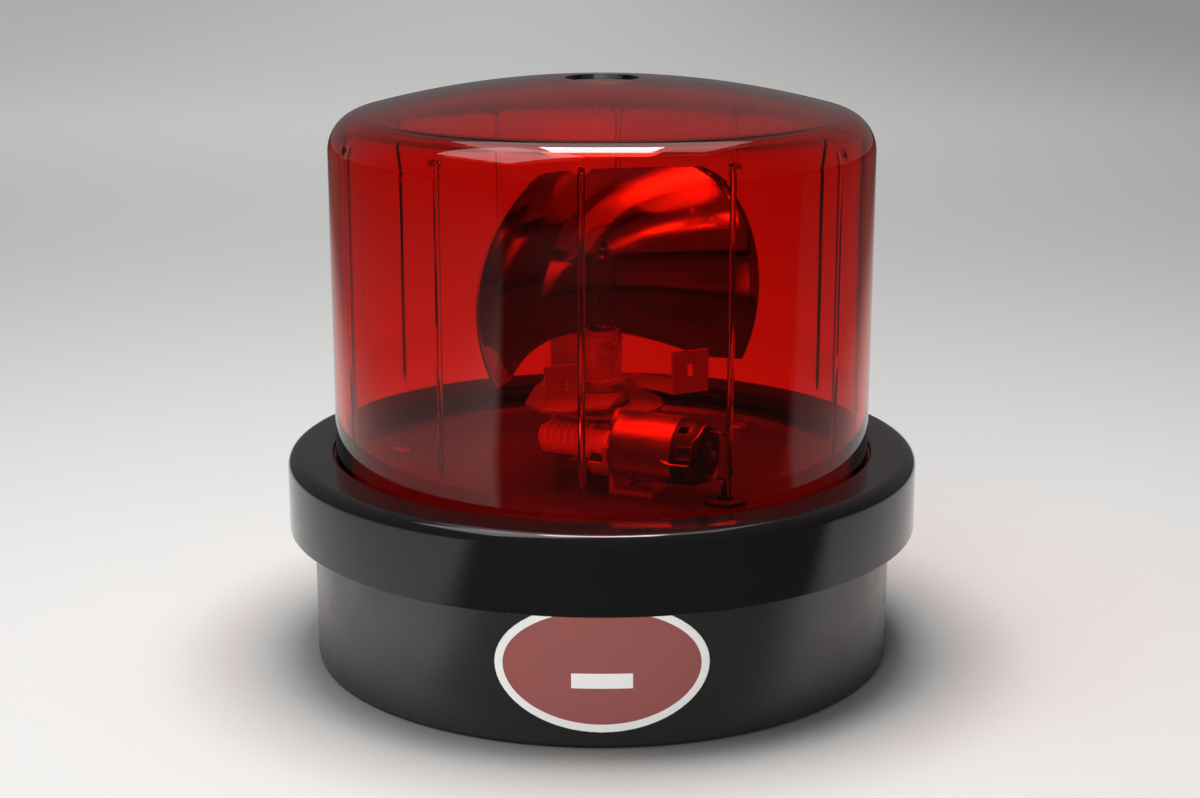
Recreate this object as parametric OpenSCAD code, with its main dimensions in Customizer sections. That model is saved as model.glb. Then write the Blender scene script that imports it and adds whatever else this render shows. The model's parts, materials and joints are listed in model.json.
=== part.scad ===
// Rotating beacon light: a round base can with a clamp ring and a red dome over a
// fixed lamp, and a bowl reflector that a small motor turns round the lamp through
// a worm and a worm wheel. Millimetres, Z up, the underside of the can at z = 0.
// The light stands on its underside and the lamp is on the Z axis.

/* [Base can] */
// Outside diameter of the base can
can_d = 188; // [176:0.5:192]
// Height of the can, underside to the top of its flange
can_h = 58.8; // [52:0.1:80]
// Sheet thickness of the can
can_wall = 1.2; // [0.8:0.1:1.6]
// Rounding of the can's bottom edge
can_edge_r = 2; // [1.8:0.1:4]

/* [Mounting] */
// Circle that the mounting holes lie on
mount_pcd = 150; // [140:1:156]
// Diameter of a mounting hole
mount_hole_d = 6.6; // [4:0.1:8]
// Number of mounting holes
mount_count = 4; // [3:1:4]
// Distance of the cable grommet from the middle of the base
cable_off = 45; // [40:1:55]
// Bore of the cable grommet
cable_bore_d = 7; // [5:0.5:9]
// Wall of a grommet round its bore
grommet_wall = 2; // [1.5:0.1:3]
// Depth of a grommet's lip on each side of the sheet
grommet_lip_t = 1.6; // [1:0.1:2]
// How far a grommet's lip reaches past its hole
grommet_lip_w = 1.8; // [1:0.1:2.5]

/* [Clamp ring] */
// How far the clamp ring stands out past the can's wall
ring_over = 8; // [7.8:0.1:11]
// Height of the clamp ring
ring_h = 24.5; // [18:0.5:30]
// Wall of the ring's skirt
ring_wall = 2.2; // [1.8:0.1:2.4]
// Thickness of the ring's top
ring_top_t = 3; // [2:0.1:5]
// Rounding of the ring's outer top edge
ring_edge_r = 4; // [1:0.5:6]
// Gap between the dome and the ring's hole
ring_dome_gap = 0.85; // [0.3:0.05:1.5]

/* [Dome] */
// Height of the dome, flange underside to crown
dome_h = 124.9; // [120:0.1:160]
// Wall of the dome
dome_wall = 2.8; // [2:0.1:4]
// Radius of the shallow crown
crown_r = 297; // [200:1:400]
// Rounding between crown and wall
shoulder_r = 12.5; // [8:0.5:16]
// Width of the dome's flange, whose edge is in line with the can's wall
dome_flange_w = 7.55; // [6:0.05:9]
// Thickness of the dome's flange
dome_flange_t = 3; // [2:0.1:5]
// Radius of the sunk disc in the crown
sink_r = 11.6; // [6:0.1:16]
// Depth of the sunk disc
sink_depth = 1; // [0.4:0.1:1.4]
// Number of upright beads inside the dome
bead_count = 12; // [6:1:16]
// Width of a bead
bead_w = 1.9; // [1.2:0.1:3]
// Turn of the first bead from the front of the light
bead_turn = -4; // [-15:0.5:15]
// Height of a bead's lower tip above the dome's flange
bead_start = 13; // [8:0.5:30]
// Length of a bead's pointed lower end
bead_point = 6; // [2:0.5:10]

/* [Rating label] */
// Width of the oval label along the can
label_w = 63; // [40:1:80]
// Height of the oval label
label_h = 40; // [20:1:44]
// Height of the label's middle above the middle of the can's bare wall
label_up = 3.75; // [1:0.25:6]
// Thickness of the label
label_t = 0.4; // [0.2:0.05:0.8]

/* [Chassis] */
// Sheet thickness of the chassis plate
chassis_t = 1.2; // [0.8:0.1:1.6]
// Drop from the plate's rim to its floor
floor_step = 1.6; // [1:0.1:3]
// How far the sunk floor's edge lies inside the dome's inner wall
floor_inset = 0.65; // [0.4:0.05:3]
// Thickness of the gasket under the dome
gasket_t = 1.9; // [1:0.1:3]
// Distance of the chassis pillars from the sunk floor's edge
pillar_inset = 13; // [13:0.5:19]
// Diameter of a chassis pillar
pillar_d = 10; // [8:0.5:12]
// Turn of the first chassis pillar from the X axis
pillar_turn = 46.7; // [40:0.1:50]
// Number of chassis pillars
pillar_count = 3; // [3:1:3]

/* [Lamp and post] */
// Outside diameter of the lamp post
post_d = 9; // [8:0.1:9.5]
// Bore of the lamp post
post_bore_d = 5; // [3:0.1:6]
// Radius of the flange at the foot of the post
post_flange_r = 12.6; // [12:0.1:12.8]
// Thickness of the flange at the foot of the post
post_flange_t = 2.2; // [1.5:0.1:3]
// Outside diameter of the lamp socket
socket_d = 13; // [12.6:0.1:15]
// Wall of the lamp socket
socket_wall = 0.6; // [0.4:0.05:0.8]
// Length of the lamp socket
socket_l = 15; // [14:0.5:18]
// Diameter of the collar that keeps the turntable down
collar_d = 20; // [18:0.5:20]
// Thickness of that collar
collar_t = 2.1; // [2:0.1:3]
// Height of the filament above the turntable's top
filament_up = 31.3; // [30:0.1:33]
// Diameter of the lamp's glass
glass_d = 9.2; // [8:0.1:10]
// Wall of the lamp's glass
glass_wall = 0.7; // [0.5:0.05:1]
// Length of glass above the filament
glass_over = 12.7; // [10:0.1:15]

/* [Worm drive] */
// Tooth module of the worm and the wheel
gear_module = 0.75; // [0.75:0.01:0.77]
// Teeth on the worm wheel
wheel_teeth = 42; // [42:1:42]
// Pitch diameter of the worm
worm_pitch_d = 9.5; // [9.3:0.1:10]
// Face width of the worm wheel
wheel_w = 7; // [5:0.1:7]
// Backlash taken off each tooth and thread, at the pitch line
backlash = 0.22; // [0.18:0.01:0.3]
// Thread starts this far behind the mesh point
worm_back = 10.8; // [8:0.1:12]
// Thread ends this far in front of the mesh point
worm_front = 8; // [7:0.1:8.4]
// Height of the motor's axis above the sunk floor
motor_up = 16; // [15.6:0.1:16.2]
// Direction of the motor's axis from the X axis
motor_turn = -26; // [-32:0.1:-22]

/* [Motor] */
// Diameter of the motor's steel can
motor_d = 22.2; // [21:0.1:22.4]
// Length of the motor's steel can
motor_l = 21; // [19:0.1:24]
// Wall of the motor's can
motor_wall = 0.9; // [0.6:0.1:1]
// Length of the black end bell
bell_l = 8.4; // [8:0.1:9.5]
// Diameter of the motor's shaft
shaft_d = 3; // [2.4:0.1:3.2]
// Sheet thickness of the motor bracket
bracket_t = 1.6; // [1.2:0.1:2]
// Front face of the motor, in front of the mesh point
motor_s = 17; // [16:0.1:18]

/* [Turntable and reflector] */
// Turn of the beam from straight ahead towards the right
beam_turn = 28; // [20:0.5:36]
// Height of the turntable's top above the motor's axis
table_up = 12.6; // [12.5:0.1:16]
// Sheet thickness of the turntable plate
table_t = 1; // [0.8:0.1:1.1]
// Height of the two slotted ears
ear_h = 13; // [8:0.5:14]
// Width of a slotted ear
ear_w = 13.4; // [10:0.1:15]
// Distance of an ear's middle from the beam's middle plane
ear_u = 22.9; // [22:0.1:24]
// Radius of the reflector's rim
rim_r = 51; // [46:0.5:53]
// Focal length of the reflector bowl
focal = 19; // [18.5:0.1:20]
// Sheet thickness of the reflector
bowl_t = 1; // [0.7:0.1:1.2]
// Height of the reflector's flat top edge above the filament
bowl_up = 42.2; // [32:0.1:43.2]
// Depth of the reflector's flat bottom edge below the filament
bowl_down = 24.3; // [21.3:0.1:25.3]
// Height of the arched relief in the bottom edge
arch_h = 7.8; // [6:0.1:10]
// Radius of the arched relief
arch_r = 82; // [60:1:100]

/* [Hidden] */
$fn = 96;
round_steps = 10;
wire_sides = 8;

// Clearances
seat_gap = 0.1;
run_gap = 0.05;
thread_gap = 0.05;
drill_gap = 0.2;
end_play = 0.3;
spin_gap = 0.5;
fit_gap = 0.02;
edge_gap = 0.6;

// How far a cutter reaches past what it cuts, and the breaking of sharp edges
over = 1;
edge_break = 0.5;

// Levels, from the underside up
rim_top_z = can_h + chassis_t;
floor_z = rim_top_z - floor_step;
motor_z = floor_z + motor_up;
table_z = motor_z + table_up;
filament_z = table_z + filament_up;
floor_low_z = floor_z - chassis_t;
gasket_top_z = rim_top_z + gasket_t;
dome_low_z = gasket_top_z + seat_gap;
flange_top_z = dome_low_z + dome_flange_t;
ring_top_z = flange_top_z + ring_top_t;
ring_low_z = ring_top_z - ring_h;
dome_top_z = dome_low_z + dome_h;

// Radii of the outer parts
can_r = can_d / 2;
ring_r = can_r + ring_over;
ring_in_r = ring_r - ring_wall;
dome_flange_r = can_r;
dome_r = dome_flange_r - dome_flange_w;
dome_in_r = dome_r - dome_wall;
ring_hole_r = dome_r + ring_dome_gap;
land_r = dome_flange_r + edge_gap;
can_flange_r = ring_in_r - edge_gap;
floor_r = dome_in_r - floor_inset;
pillar_r = floor_r - pillar_inset;

// Fasteners: shank and head diameters and head heights
m2_d = 2;
m2_head_d = 3.8;
m2_head_h = 1.4;
m3_d = 3;
m3_head_d = 5;
m3_head_h = 2;
m4_d = 4;
m4_head_d = 7;
m4_head_h = 2.4;
slot_w = 0.7;
ring_screw_r = (can_r + ring_in_r) / 2;
ring_screw_count = 3;
ring_screw_turn = 30;
long_screw_l = 6;
short_screw_l = 4.5;
grub_r = 0.7;
grub_sink = 0.4;

// Worm drive
wheel_pitch_r = gear_module * wheel_teeth / 2;
worm_pitch_r = worm_pitch_d / 2;
gear_cd = wheel_pitch_r + worm_pitch_r;
lead = PI * gear_module;
addendum = gear_module;
dedendum = 1.25 * gear_module;
wheel_tip_r = wheel_pitch_r + addendum;
wheel_root_r = wheel_pitch_r - dedendum;
worm_tip_r = worm_pitch_r + addendum;
worm_root_r = worm_pitch_r - dedendum;
flank = 20;
wheel_low_z = motor_z - wheel_w / 2;
wheel_top_z = motor_z + wheel_w / 2;
hub_r = 8;
hub_flange_r = 12.6;
hub_flange_t = 1.2;
bush_wall = 1.45;
post_r = post_d / 2;
bush_r = post_r + run_gap;
bush_out_r = bush_r + bush_wall;
hub_low_z = wheel_low_z - hub_flange_t;
washer_t = 0.7;
washer_low_z = hub_low_z - seat_gap - washer_t;
post_boss_r = 7;
spigot_r = 6.9;
table_low_z = table_z - table_t;
collar_low_z = table_z + end_play;
collar_top_z = collar_low_z + collar_t;

// Lamp and socket
socket_r = socket_d / 2;
socket_in_r = socket_r - socket_wall;
socket_low_z = collar_top_z;
socket_top_z = socket_low_z + socket_l;
socket_floor_t = 1;
band_drops = [1, 5];
band_w = 0.6;
band_h = 0.35;
socket_flange_r = 8.4;
socket_flange_t = 0.9;
post_proud = 0.4;
post_top_z = socket_low_z + socket_floor_t + post_proud;
post_tail = 2;
post_screw_turn = 75;
post_screw_count = 3;
pin_turn = -50;
pin_drop = 2.2;
pin_r = 0.8;
pin_proud = 0.9;
cap_gap = 0.3;
cap_wall = 0.7;
cap_seat = 7;
cap_proud = 1.6;
glass_grip = 3;
cap_r = socket_in_r - cap_gap;
cap_low_z = socket_low_z + cap_seat;
cap_top_z = socket_top_z + cap_proud;
glass_r = glass_d / 2;
glass_top_z = filament_z + glass_over;
glass_foot_z = cap_top_z - glass_grip;

insulator_t = 3;
plunger_r = 1.6;
plunger_tail = 1.5;
plunger_head_r = 2.6;
plunger_head_t = 0.8;
spring_r = 2.4;
pip_r = 2;
pip_h = 0.8;
plunger_top_z = cap_low_z - pip_h;
plunger_head_z = plunger_top_z - plunger_head_t;

// Gear cover
cover_t = 1.2;
cover_clear = 0.8;
cover_r = 20;
cover_low_z = motor_z + worm_tip_r + cover_clear;
cover_top_z = cover_low_z + cover_t;
cover_ear_r = 27;
cover_ears = [60, 120];
cover_pillar_r = 3;
cover_ear_half = 4;
hub_clear = 1.2;

// Motor, measured along its axis from the mesh point
motor_r = motor_d / 2;
motor_in_r = motor_r - motor_wall;
motor_edge = 0.8;
motor_end_s = motor_s + motor_l;
bell_step = 0.1;
bell_end_s = motor_end_s + bell_l;
bell_r = motor_r - bell_step;
bell_taper = 1.6;
bell_taper_l = 3.4;
bush_in = 1.8;
boss_l = 1.4;
shaft_r = shaft_d / 2;
worm_collar_r = 3.9;
worm_collar_l = 5.5;
worm_collar_s = worm_front + worm_collar_l;
thread_runout = 1;
motor_bush_r = 3;
bush_front_s = worm_collar_s + spin_gap;
motor_screw_off = 7.5;
magnet_r = 8;
core_r = magnet_r - spin_gap;
comm_r = 3.6;
brush_l = 4;
brush_h = 3.4;
brush_s = 4.8;
brush_turn = 76;
holder_t = 0.4;
terminal_off = 7.2;
terminal_t = 0.6;
terminal_w = 2.8;
terminal_proud = 4;

// Turntable, with u across the beam and w along it
boss_t = 2.5;
stay_w = focal + bowl_t + boss_t;
stay_half = 7;
boss_r = 9;
boss_screw_off = 4.5;
boss_screw_l = boss_t - edge_break;
stay_top_z = filament_z + boss_r;
bowl_top_z = filament_z + bowl_up;
bowl_bottom_z = filament_z - bowl_down;
arch_z = bowl_bottom_z + arch_h;
ear_w_pos = 17;
ear_slot_w = 2.2;
ear_slot_h = 4;

// Leads and terminal strip
lead_r = 0.7;
lead_reach = 6;
lead_room = 1.4;
lead_s = bell_end_s + lead_reach;
strip_l = 30;
strip_w = 12;
strip_h = 9;

// An arc of points from angle a0 to a1 round (cx, cy)
function arc(cx, cy, r, a0, a1, n = round_steps) =
    [for (i = [0 : n]) let (a = a0 + (a1 - a0) * i / n) [cx + r * cos(a), cy + r * sin(a)]];

// Puts its children at a distance and angle from the Z axis
module polar(r, a, z = 0) rotate([0, 0, a]) translate([r, 0, z]) children();

// Repeats its children round the Z axis
module ring_of(count, r, turn = 0, z = 0)
    for (i = [0 : count - 1]) polar(r, turn + 360 * i / count, z) children();

// A flat ring
module washer(r_out, r_in, t) difference() {
    cylinder(r = r_out, h = t);
    translate([0, 0, -over]) cylinder(r = r_in, h = t + 2 * over);
}

// A slotted cheese-head screw, its head's underside at z = 0 and its head up
module screw(d, head_d, head_h, length) {
    difference() {
        cylinder(d = head_d, h = head_h);
        translate([-head_d, -slot_w / 2, head_h / 2]) cube([head_d * 2, slot_w, head_h]);
    }
    translate([0, 0, -length]) cylinder(d = d, h = length + head_h / 4);
}

// The motor's frame: Z along the motor's axis from the mesh point
module on_motor(s = 0) rotate([0, 0, motor_turn]) translate([s, -gear_cd, motor_z])
    rotate([0, 90, 0]) children();

// The motor's plan frame: X along the motor's axis, the floor at z = 0
module by_motor() rotate([0, 0, motor_turn]) translate([0, -gear_cd, floor_z]) children();

// The beam's frame: X across the beam, -Y along it
module on_beam() rotate([0, 0, beam_turn]) children();

// A route with its corners cut, its ends kept
function cut_corners(p) = concat([p[0]],
    [for (i = [0 : len(p) - 2]) each [0.75 * p[i] + 0.25 * p[i + 1], 0.25 * p[i] + 0.75 * p[i + 1]]],
    [p[len(p) - 1]]);

function unit(v) = v / norm(v);

// A round wire swept along a route; side is a direction that the route never takes
module wire(route, r, side) {
    n = wire_sides;
    p = cut_corners(cut_corners(route));
    last = len(p) - 1;
    points = [for (i = [0 : last])
        let (t = unit(p[min(i + 1, last)] - p[max(i - 1, 0)]), a = unit(cross(side, t)), b = cross(t, a))
        each [for (j = [0 : n - 1]) p[i] + r * (cos(360 * j / n) * a + sin(360 * j / n) * b)]];
    walls = [for (i = [0 : last - 1], j = [0 : n - 1])
        let (a = i * n + j, b = i * n + (j + 1) % n) each [[a, a + n, b + n], [a, b + n, b]]];
    polyhedron(points, concat([[for (j = [0 : n - 1]) j]], walls,
        [[for (j = [n - 1 : -1 : 0]) last * n + j]]));
}

module grommet(bore_d, sheet_t, sheet_z) {
    hole_r = bore_d / 2 + grommet_wall;
    translate([0, 0, sheet_z]) difference() {
        union() {
            translate([0, 0, -grommet_lip_t]) cylinder(r = hole_r, h = sheet_t + 2 * grommet_lip_t);
            translate([0, 0, sheet_t]) cylinder(r = hole_r + grommet_lip_w, h = grommet_lip_t);
            translate([0, 0, -grommet_lip_t]) cylinder(r = hole_r + grommet_lip_w, h = grommet_lip_t);
        }
        translate([0, 0, -2 * grommet_lip_t]) cylinder(d = bore_d, h = sheet_t + 4 * grommet_lip_t);
    }
}

// Base can: a drawn can with a closed bottom and an outward flange
lip_clear = 0.4;
boss_margin = 1;
cable_recess = grommet_lip_t + lip_clear;
cable_boss_r = cable_bore_d / 2 + grommet_wall + grommet_lip_w + boss_margin + can_wall;

module base_shell() color([0.07, 0.07, 0.08]) difference() {
    union() {
        rotate_extrude($fn = 180) polygon(concat(
            [[0, 0]],
            arc(can_r - can_edge_r, can_edge_r, can_edge_r, -90, 0),
            [[can_r, can_h - can_wall], [can_flange_r, can_h - can_wall],
             [can_flange_r, can_h], [can_r - can_wall, can_h]],
            arc(can_r - can_edge_r, can_edge_r, can_edge_r - can_wall, 0, -90),
            [[0, can_wall]]));
        polar(cable_off, 90) cylinder(r = cable_boss_r, h = cable_recess + can_wall);
    }
    polar(cable_off, 90, -over) cylinder(r = cable_boss_r - can_wall, h = cable_recess + over);
    polar(cable_off, 90, -over) cylinder(d = cable_bore_d + 2 * grommet_wall, h = can_h);
    ring_of(mount_count, mount_pcd / 2, 0, -over) cylinder(d = mount_hole_d, h = can_wall + 2 * over);
    ring_of(ring_screw_count, ring_screw_r, ring_screw_turn, can_h - 2 * can_wall)
        cylinder(d = m3_d + 2 * drill_gap, h = 3 * can_wall);
}

label_z = ring_low_z / 2 + label_up;
label_step = 6;

module rating_label() color([0.36, 0.14, 0.15]) intersection() {
    rotate_extrude($fn = 180) translate([can_r, label_z - label_h]) square([label_t, label_h * 2]);
    translate([0, 0, label_z]) rotate([90, 0, 0]) linear_extrude(height = can_r * 2)
        polygon([for (a = [0 : label_step : 360 - label_step]) [label_w / 2 * cos(a), label_h / 2 * sin(a)]]);
}

module cable_grommet() color([0.04, 0.04, 0.04]) polar(cable_off, 90)
    grommet(cable_bore_d, can_wall, cable_recess);

// Pillars that carry the chassis plate over the can's bottom
module chassis_pillars() color("silver") ring_of(pillar_count, pillar_r, pillar_turn)
    difference() {
        translate([0, 0, can_wall]) cylinder(d = pillar_d, h = floor_low_z - can_wall);
        translate([0, 0, floor_low_z - pillar_d])
            cylinder(r = m4_d / 2 + thread_gap, h = pillar_d + over);
    }

lead_bore_r = 2 * lead_r + lead_room;
grommet_hole_r = lead_bore_r + grommet_wall;

module lead_exit() by_motor() translate([lead_s, 0, 0]) children();

module chassis_plate() color([0.09, 0.09, 0.1]) difference() {
    rotate_extrude($fn = 180) polygon([[0, floor_low_z], [floor_r, floor_low_z],
        [floor_r + floor_step, can_h], [can_flange_r, can_h], [can_flange_r, rim_top_z],
        [floor_r + floor_step - chassis_t / 2, rim_top_z], [floor_r - chassis_t / 2, floor_z],
        [0, floor_z]]);
    translate([0, 0, floor_low_z - over]) cylinder(r = post_r + drill_gap, h = chassis_t + 2 * over);
    ring_of(ring_screw_count, ring_screw_r, ring_screw_turn, can_h - over)
        cylinder(d = m3_d + 2 * drill_gap, h = chassis_t + 2 * over);
    ring_of(pillar_count, pillar_r, pillar_turn, floor_low_z - over)
        cylinder(d = m4_d + 2 * drill_gap, h = chassis_t + 2 * over);
    lead_exit() translate([0, 0, -chassis_t - over]) cylinder(r = grommet_hole_r, h = chassis_t + 2 * over);
    post_screw_places() translate([0, 0, floor_low_z - over])
        cylinder(r = m2_d / 2 + thread_gap, h = chassis_t + 2 * over);
    foot_screw_places() translate([0, 0, -over])
        cylinder(r = m3_d / 2 + drill_gap, h = chassis_t + 2 * over);
    cover_pillar_places() translate([0, 0, floor_low_z - over])
        cylinder(r = cover_pillar_r / 2 + thread_gap, h = chassis_t + 2 * over);
}

module chassis_screws() color("silver") ring_of(pillar_count, pillar_r, pillar_turn, floor_z)
    screw(m4_d, m4_head_d, m4_head_h, pillar_d);

module chassis_grommet() color([0.04, 0.04, 0.04]) lead_exit()
    grommet(2 * lead_bore_r, chassis_t, -chassis_t);

module dome_gasket() color([0.05, 0.05, 0.05]) translate([0, 0, rim_top_z])
    washer(dome_flange_r, dome_in_r + dome_wall / 2, gasket_t);

// Screws that come up through the can's flange into the ring, hidden by its skirt
module ring_screws() color("silver")
    ring_of(ring_screw_count, ring_screw_r, ring_screw_turn, can_h - can_wall)
        mirror([0, 0, 1]) screw(m3_d, m3_head_d, m3_head_h, long_screw_l);

module clamp_ring() color([0.05, 0.05, 0.06]) difference() {
    rotate_extrude($fn = 180) polygon(concat(
        [[ring_in_r, ring_low_z], [ring_r - edge_break, ring_low_z], [ring_r, ring_low_z + edge_break]],
        arc(ring_r - ring_edge_r, ring_top_z - ring_edge_r, ring_edge_r, 0, 90),
        [[ring_hole_r + 2 * edge_break, ring_top_z], [ring_hole_r, ring_top_z - 2 * edge_break],
         [ring_hole_r, flange_top_z], [land_r, flange_top_z],
         [land_r, rim_top_z + seat_gap], [ring_in_r, rim_top_z + seat_gap]]));
    ring_of(ring_screw_count, ring_screw_r, ring_screw_turn, can_h)
        cylinder(r = m3_d / 2 + thread_gap, h = long_screw_l);
}

// The dome's outline, drawn inset by o from its outer face
crown_z = dome_top_z - crown_r;
shoulder_z = crown_z + sqrt(pow(crown_r - shoulder_r, 2) - pow(dome_r - shoulder_r, 2));
crown_a = atan2(shoulder_z - crown_z, dome_r - shoulder_r);

function dome_line(o) = concat(
    arc(0, crown_z, crown_r - o, 90, crown_a),
    arc(dome_r - shoulder_r, shoulder_z, shoulder_r - o, crown_a, 0));

function backwards(p) = [for (i = [len(p) - 1 : -1 : 0]) p[i]];

module dome() color([0.75, 0.03, 0.03, 0.6]) difference() {
    union() {
        rotate_extrude($fn = 180) polygon(concat(
            dome_line(0),
            [[dome_r, flange_top_z], [dome_flange_r, flange_top_z],
             [dome_flange_r, dome_low_z], [dome_in_r, dome_low_z]],
            backwards(dome_line(dome_wall))));
        ring_of(bead_count, dome_in_r, bead_turn - 90) dome_bead();
    }
    translate([0, 0, dome_top_z - sink_depth]) cylinder(r = sink_r, h = sink_depth + over);
}

// A bead's tip radius, and how far the bead runs up past the start of the shoulder
bead_tip_r = 0.05;
bead_over = 4.2;
small_fn = 24;

module dome_bead() {
    low = dome_low_z + bead_start;
    straight = shoulder_z + bead_over - low - bead_point;
    translate([0, 0, low]) cylinder(r1 = bead_tip_r, r2 = bead_w / 2, h = bead_point, $fn = small_fn);
    translate([0, 0, low + bead_point]) cylinder(r = bead_w / 2, h = straight, $fn = small_fn);
}

// Lamp post, fixed to the chassis; the turntable runs round it
module lamp_post() color("silver") difference() {
    union() {
        translate([0, 0, floor_low_z - post_tail])
            cylinder(r = post_r, h = post_top_z - floor_low_z + post_tail);
        translate([0, 0, floor_z]) cylinder(r = post_flange_r, h = post_flange_t);
        translate([0, 0, floor_z]) cylinder(r = post_boss_r, h = washer_low_z - floor_z);
    }
    translate([0, 0, floor_low_z - post_tail - over]) cylinder(d = post_bore_d, h = can_h * 2);
    post_screw_places() translate([0, 0, floor_z - over])
        cylinder(r = m2_d / 2 + drill_gap, h = post_flange_t + 2 * over);
}

module post_screw_places() ring_of(post_screw_count, (post_boss_r + post_flange_r) / 2, post_screw_turn)
    children();

module post_screws() color("silver") post_screw_places()
    translate([0, 0, floor_z + post_flange_t]) screw(m2_d, m2_head_d, m2_head_h, short_screw_l);

module thrust_washer() color([0.75, 0.6, 0.35]) translate([0, 0, washer_low_z])
    washer(post_boss_r, bush_r, washer_t);

module retaining_collar() color("silver") difference() {
    translate([0, 0, collar_low_z]) washer(collar_d / 2, post_r, collar_t);
    collar_screw_place() cylinder(r = grub_r + thread_gap, h = collar_d);
}

module collar_screw_place() translate([0, 0, collar_low_z + collar_t / 2])
    rotate([0, 0, motor_turn]) rotate([0, 90, 0]) translate([0, 0, post_r]) children();

module collar_set_screw() color([0.2, 0.2, 0.2]) collar_screw_place()
    cylinder(r = grub_r, h = collar_d / 2 - post_r - grub_sink);

// Bayonet socket with two open slots for the lamp's pins
module socket_shell() color([0.8, 0.78, 0.72]) difference() {
    union() {
        translate([0, 0, socket_low_z]) cylinder(r = socket_r, h = socket_l);
        translate([0, 0, socket_low_z]) cylinder(r = socket_flange_r, h = socket_flange_t);
        for (drop = band_drops) translate([0, 0, socket_top_z - drop - band_w])
            cylinder(r = socket_r + band_h, h = band_w);
    }
    translate([0, 0, socket_low_z + socket_floor_t]) cylinder(r = socket_in_r, h = socket_l);
    translate([0, 0, socket_low_z - over]) cylinder(r = post_r, h = socket_l);
    for (side = [0, 180]) rotate([0, 0, pin_turn + side]) {
        translate([0, -pin_r - cap_gap, socket_top_z - pin_drop - pin_r - cap_gap])
            cube([socket_d, 2 * (pin_r + cap_gap), socket_l]);
    }
}

module socket_insulator() color([0.3, 0.18, 0.1]) difference() {
    translate([0, 0, post_top_z]) cylinder(r = socket_in_r - fit_gap, h = insulator_t);
    translate([0, 0, post_top_z - over]) cylinder(r = plunger_r + run_gap, h = insulator_t + 2 * over);
}

module contact_plunger() color([0.8, 0.6, 0.25]) {
    translate([0, 0, post_top_z - plunger_tail])
        cylinder(r = plunger_r, h = plunger_head_z - post_top_z + plunger_tail);
    translate([0, 0, plunger_head_z]) cylinder(r = plunger_head_r, h = plunger_head_t);
}

module contact_spring() color([0.7, 0.7, 0.7]) translate([0, 0, post_top_z + insulator_t])
    washer(spring_r, plunger_r + run_gap, plunger_head_z - post_top_z - insulator_t);

module lamp_cap() color([0.75, 0.7, 0.6]) difference() {
    union() {
        translate([0, 0, cap_low_z]) cylinder(r = cap_r, h = cap_top_z - cap_low_z);
        translate([0, 0, plunger_top_z]) cylinder(r = pip_r, h = pip_h);
        translate([0, 0, socket_top_z - pin_drop]) rotate([0, 0, pin_turn]) rotate([0, 90, 0])
            translate([0, 0, -socket_r - pin_proud])
                cylinder(r = pin_r, h = socket_d + 2 * pin_proud, $fn = small_fn);
    }
    translate([0, 0, glass_foot_z]) cylinder(r = cap_r - cap_wall, h = cap_top_z);
}

// The glass rounds in to a neck at its foot and draws to a small tip at its top
glass_foot_r = 2;
glass_foot_up = 0.4;
glass_tip_r = 1;
glass_tip_h = 1.2;
foot_steps = 5;
top_steps = 8;
foot_angle = -60;
top_angle = 75;

module lamp_glass() color([0.9, 0.92, 0.95, 0.3]) {
    neck_r = cap_r - 2 * cap_wall;
    foot_z = cap_top_z + glass_foot_up + glass_foot_r;
    top_z = glass_top_z - glass_r;
    rotate_extrude($fn = 64) polygon(concat(
        [[neck_r, glass_foot_z], [neck_r, cap_top_z + glass_foot_up]],
        arc(glass_r - glass_foot_r, foot_z, glass_foot_r, foot_angle, 0, foot_steps),
        arc(0, top_z, glass_r, 0, top_angle, top_steps),
        [[glass_tip_r, glass_top_z + glass_tip_r / 2], [0, glass_top_z + glass_tip_h],
         [0, glass_top_z - glass_wall]],
        arc(0, top_z, glass_r - glass_wall, top_angle, 0, top_steps),
        arc(glass_r - glass_foot_r, foot_z, glass_foot_r - glass_wall, 0, foot_angle, foot_steps),
        [[neck_r - glass_wall, glass_foot_z]]));
}

// A coiled filament lying across the beam, on two legs in a glass foot
coil_half = 2.4;
coil_r = 0.65;
leg_x = 1.7;
leg_r = 0.3;
pinch_gap = 0.9;
pinch_h = 2;

module lamp_filament() color([0.6, 0.6, 0.6]) rotate([0, 0, beam_turn]) {
    for (x = [-leg_x, leg_x]) translate([x, 0, glass_foot_z])
        cylinder(r = leg_r, h = filament_z - glass_foot_z, $fn = small_fn);
    translate([-coil_half, 0, filament_z]) rotate([0, 90, 0])
        cylinder(r = coil_r, h = 2 * coil_half, $fn = small_fn);
    translate([0, 0, glass_foot_z]) cylinder(r = glass_r - glass_wall - pinch_gap, h = pinch_h);
}

// Fixed plate over the worm wheel, on two pillars
module cover_pillar_places() for (a = cover_ears) polar(cover_ear_r, a) children();

module gear_cover() color([0.45, 0.45, 0.47]) difference() {
    translate([0, 0, cover_low_z]) union() {
        cylinder(r = cover_r, h = cover_t);
        for (a = cover_ears) rotate([0, 0, a]) {
            translate([0, -cover_ear_half, 0]) cube([cover_ear_r, 2 * cover_ear_half, cover_t]);
            translate([cover_ear_r, 0, 0]) cylinder(r = cover_ear_half, h = cover_t);
        }
    }
    translate([0, 0, cover_low_z - over]) cylinder(r = hub_r + hub_clear, h = cover_t + 2 * over);
    cover_pillar_places() translate([0, 0, cover_low_z - over])
        cylinder(r = m3_d / 2 + drill_gap, h = cover_t + 2 * over);
    by_motor() translate([motor_s - bracket_t - edge_gap, -gear_cd, 0])
        cube([cover_r, gear_cd + motor_r + edge_gap, cover_top_z]);
}

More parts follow.
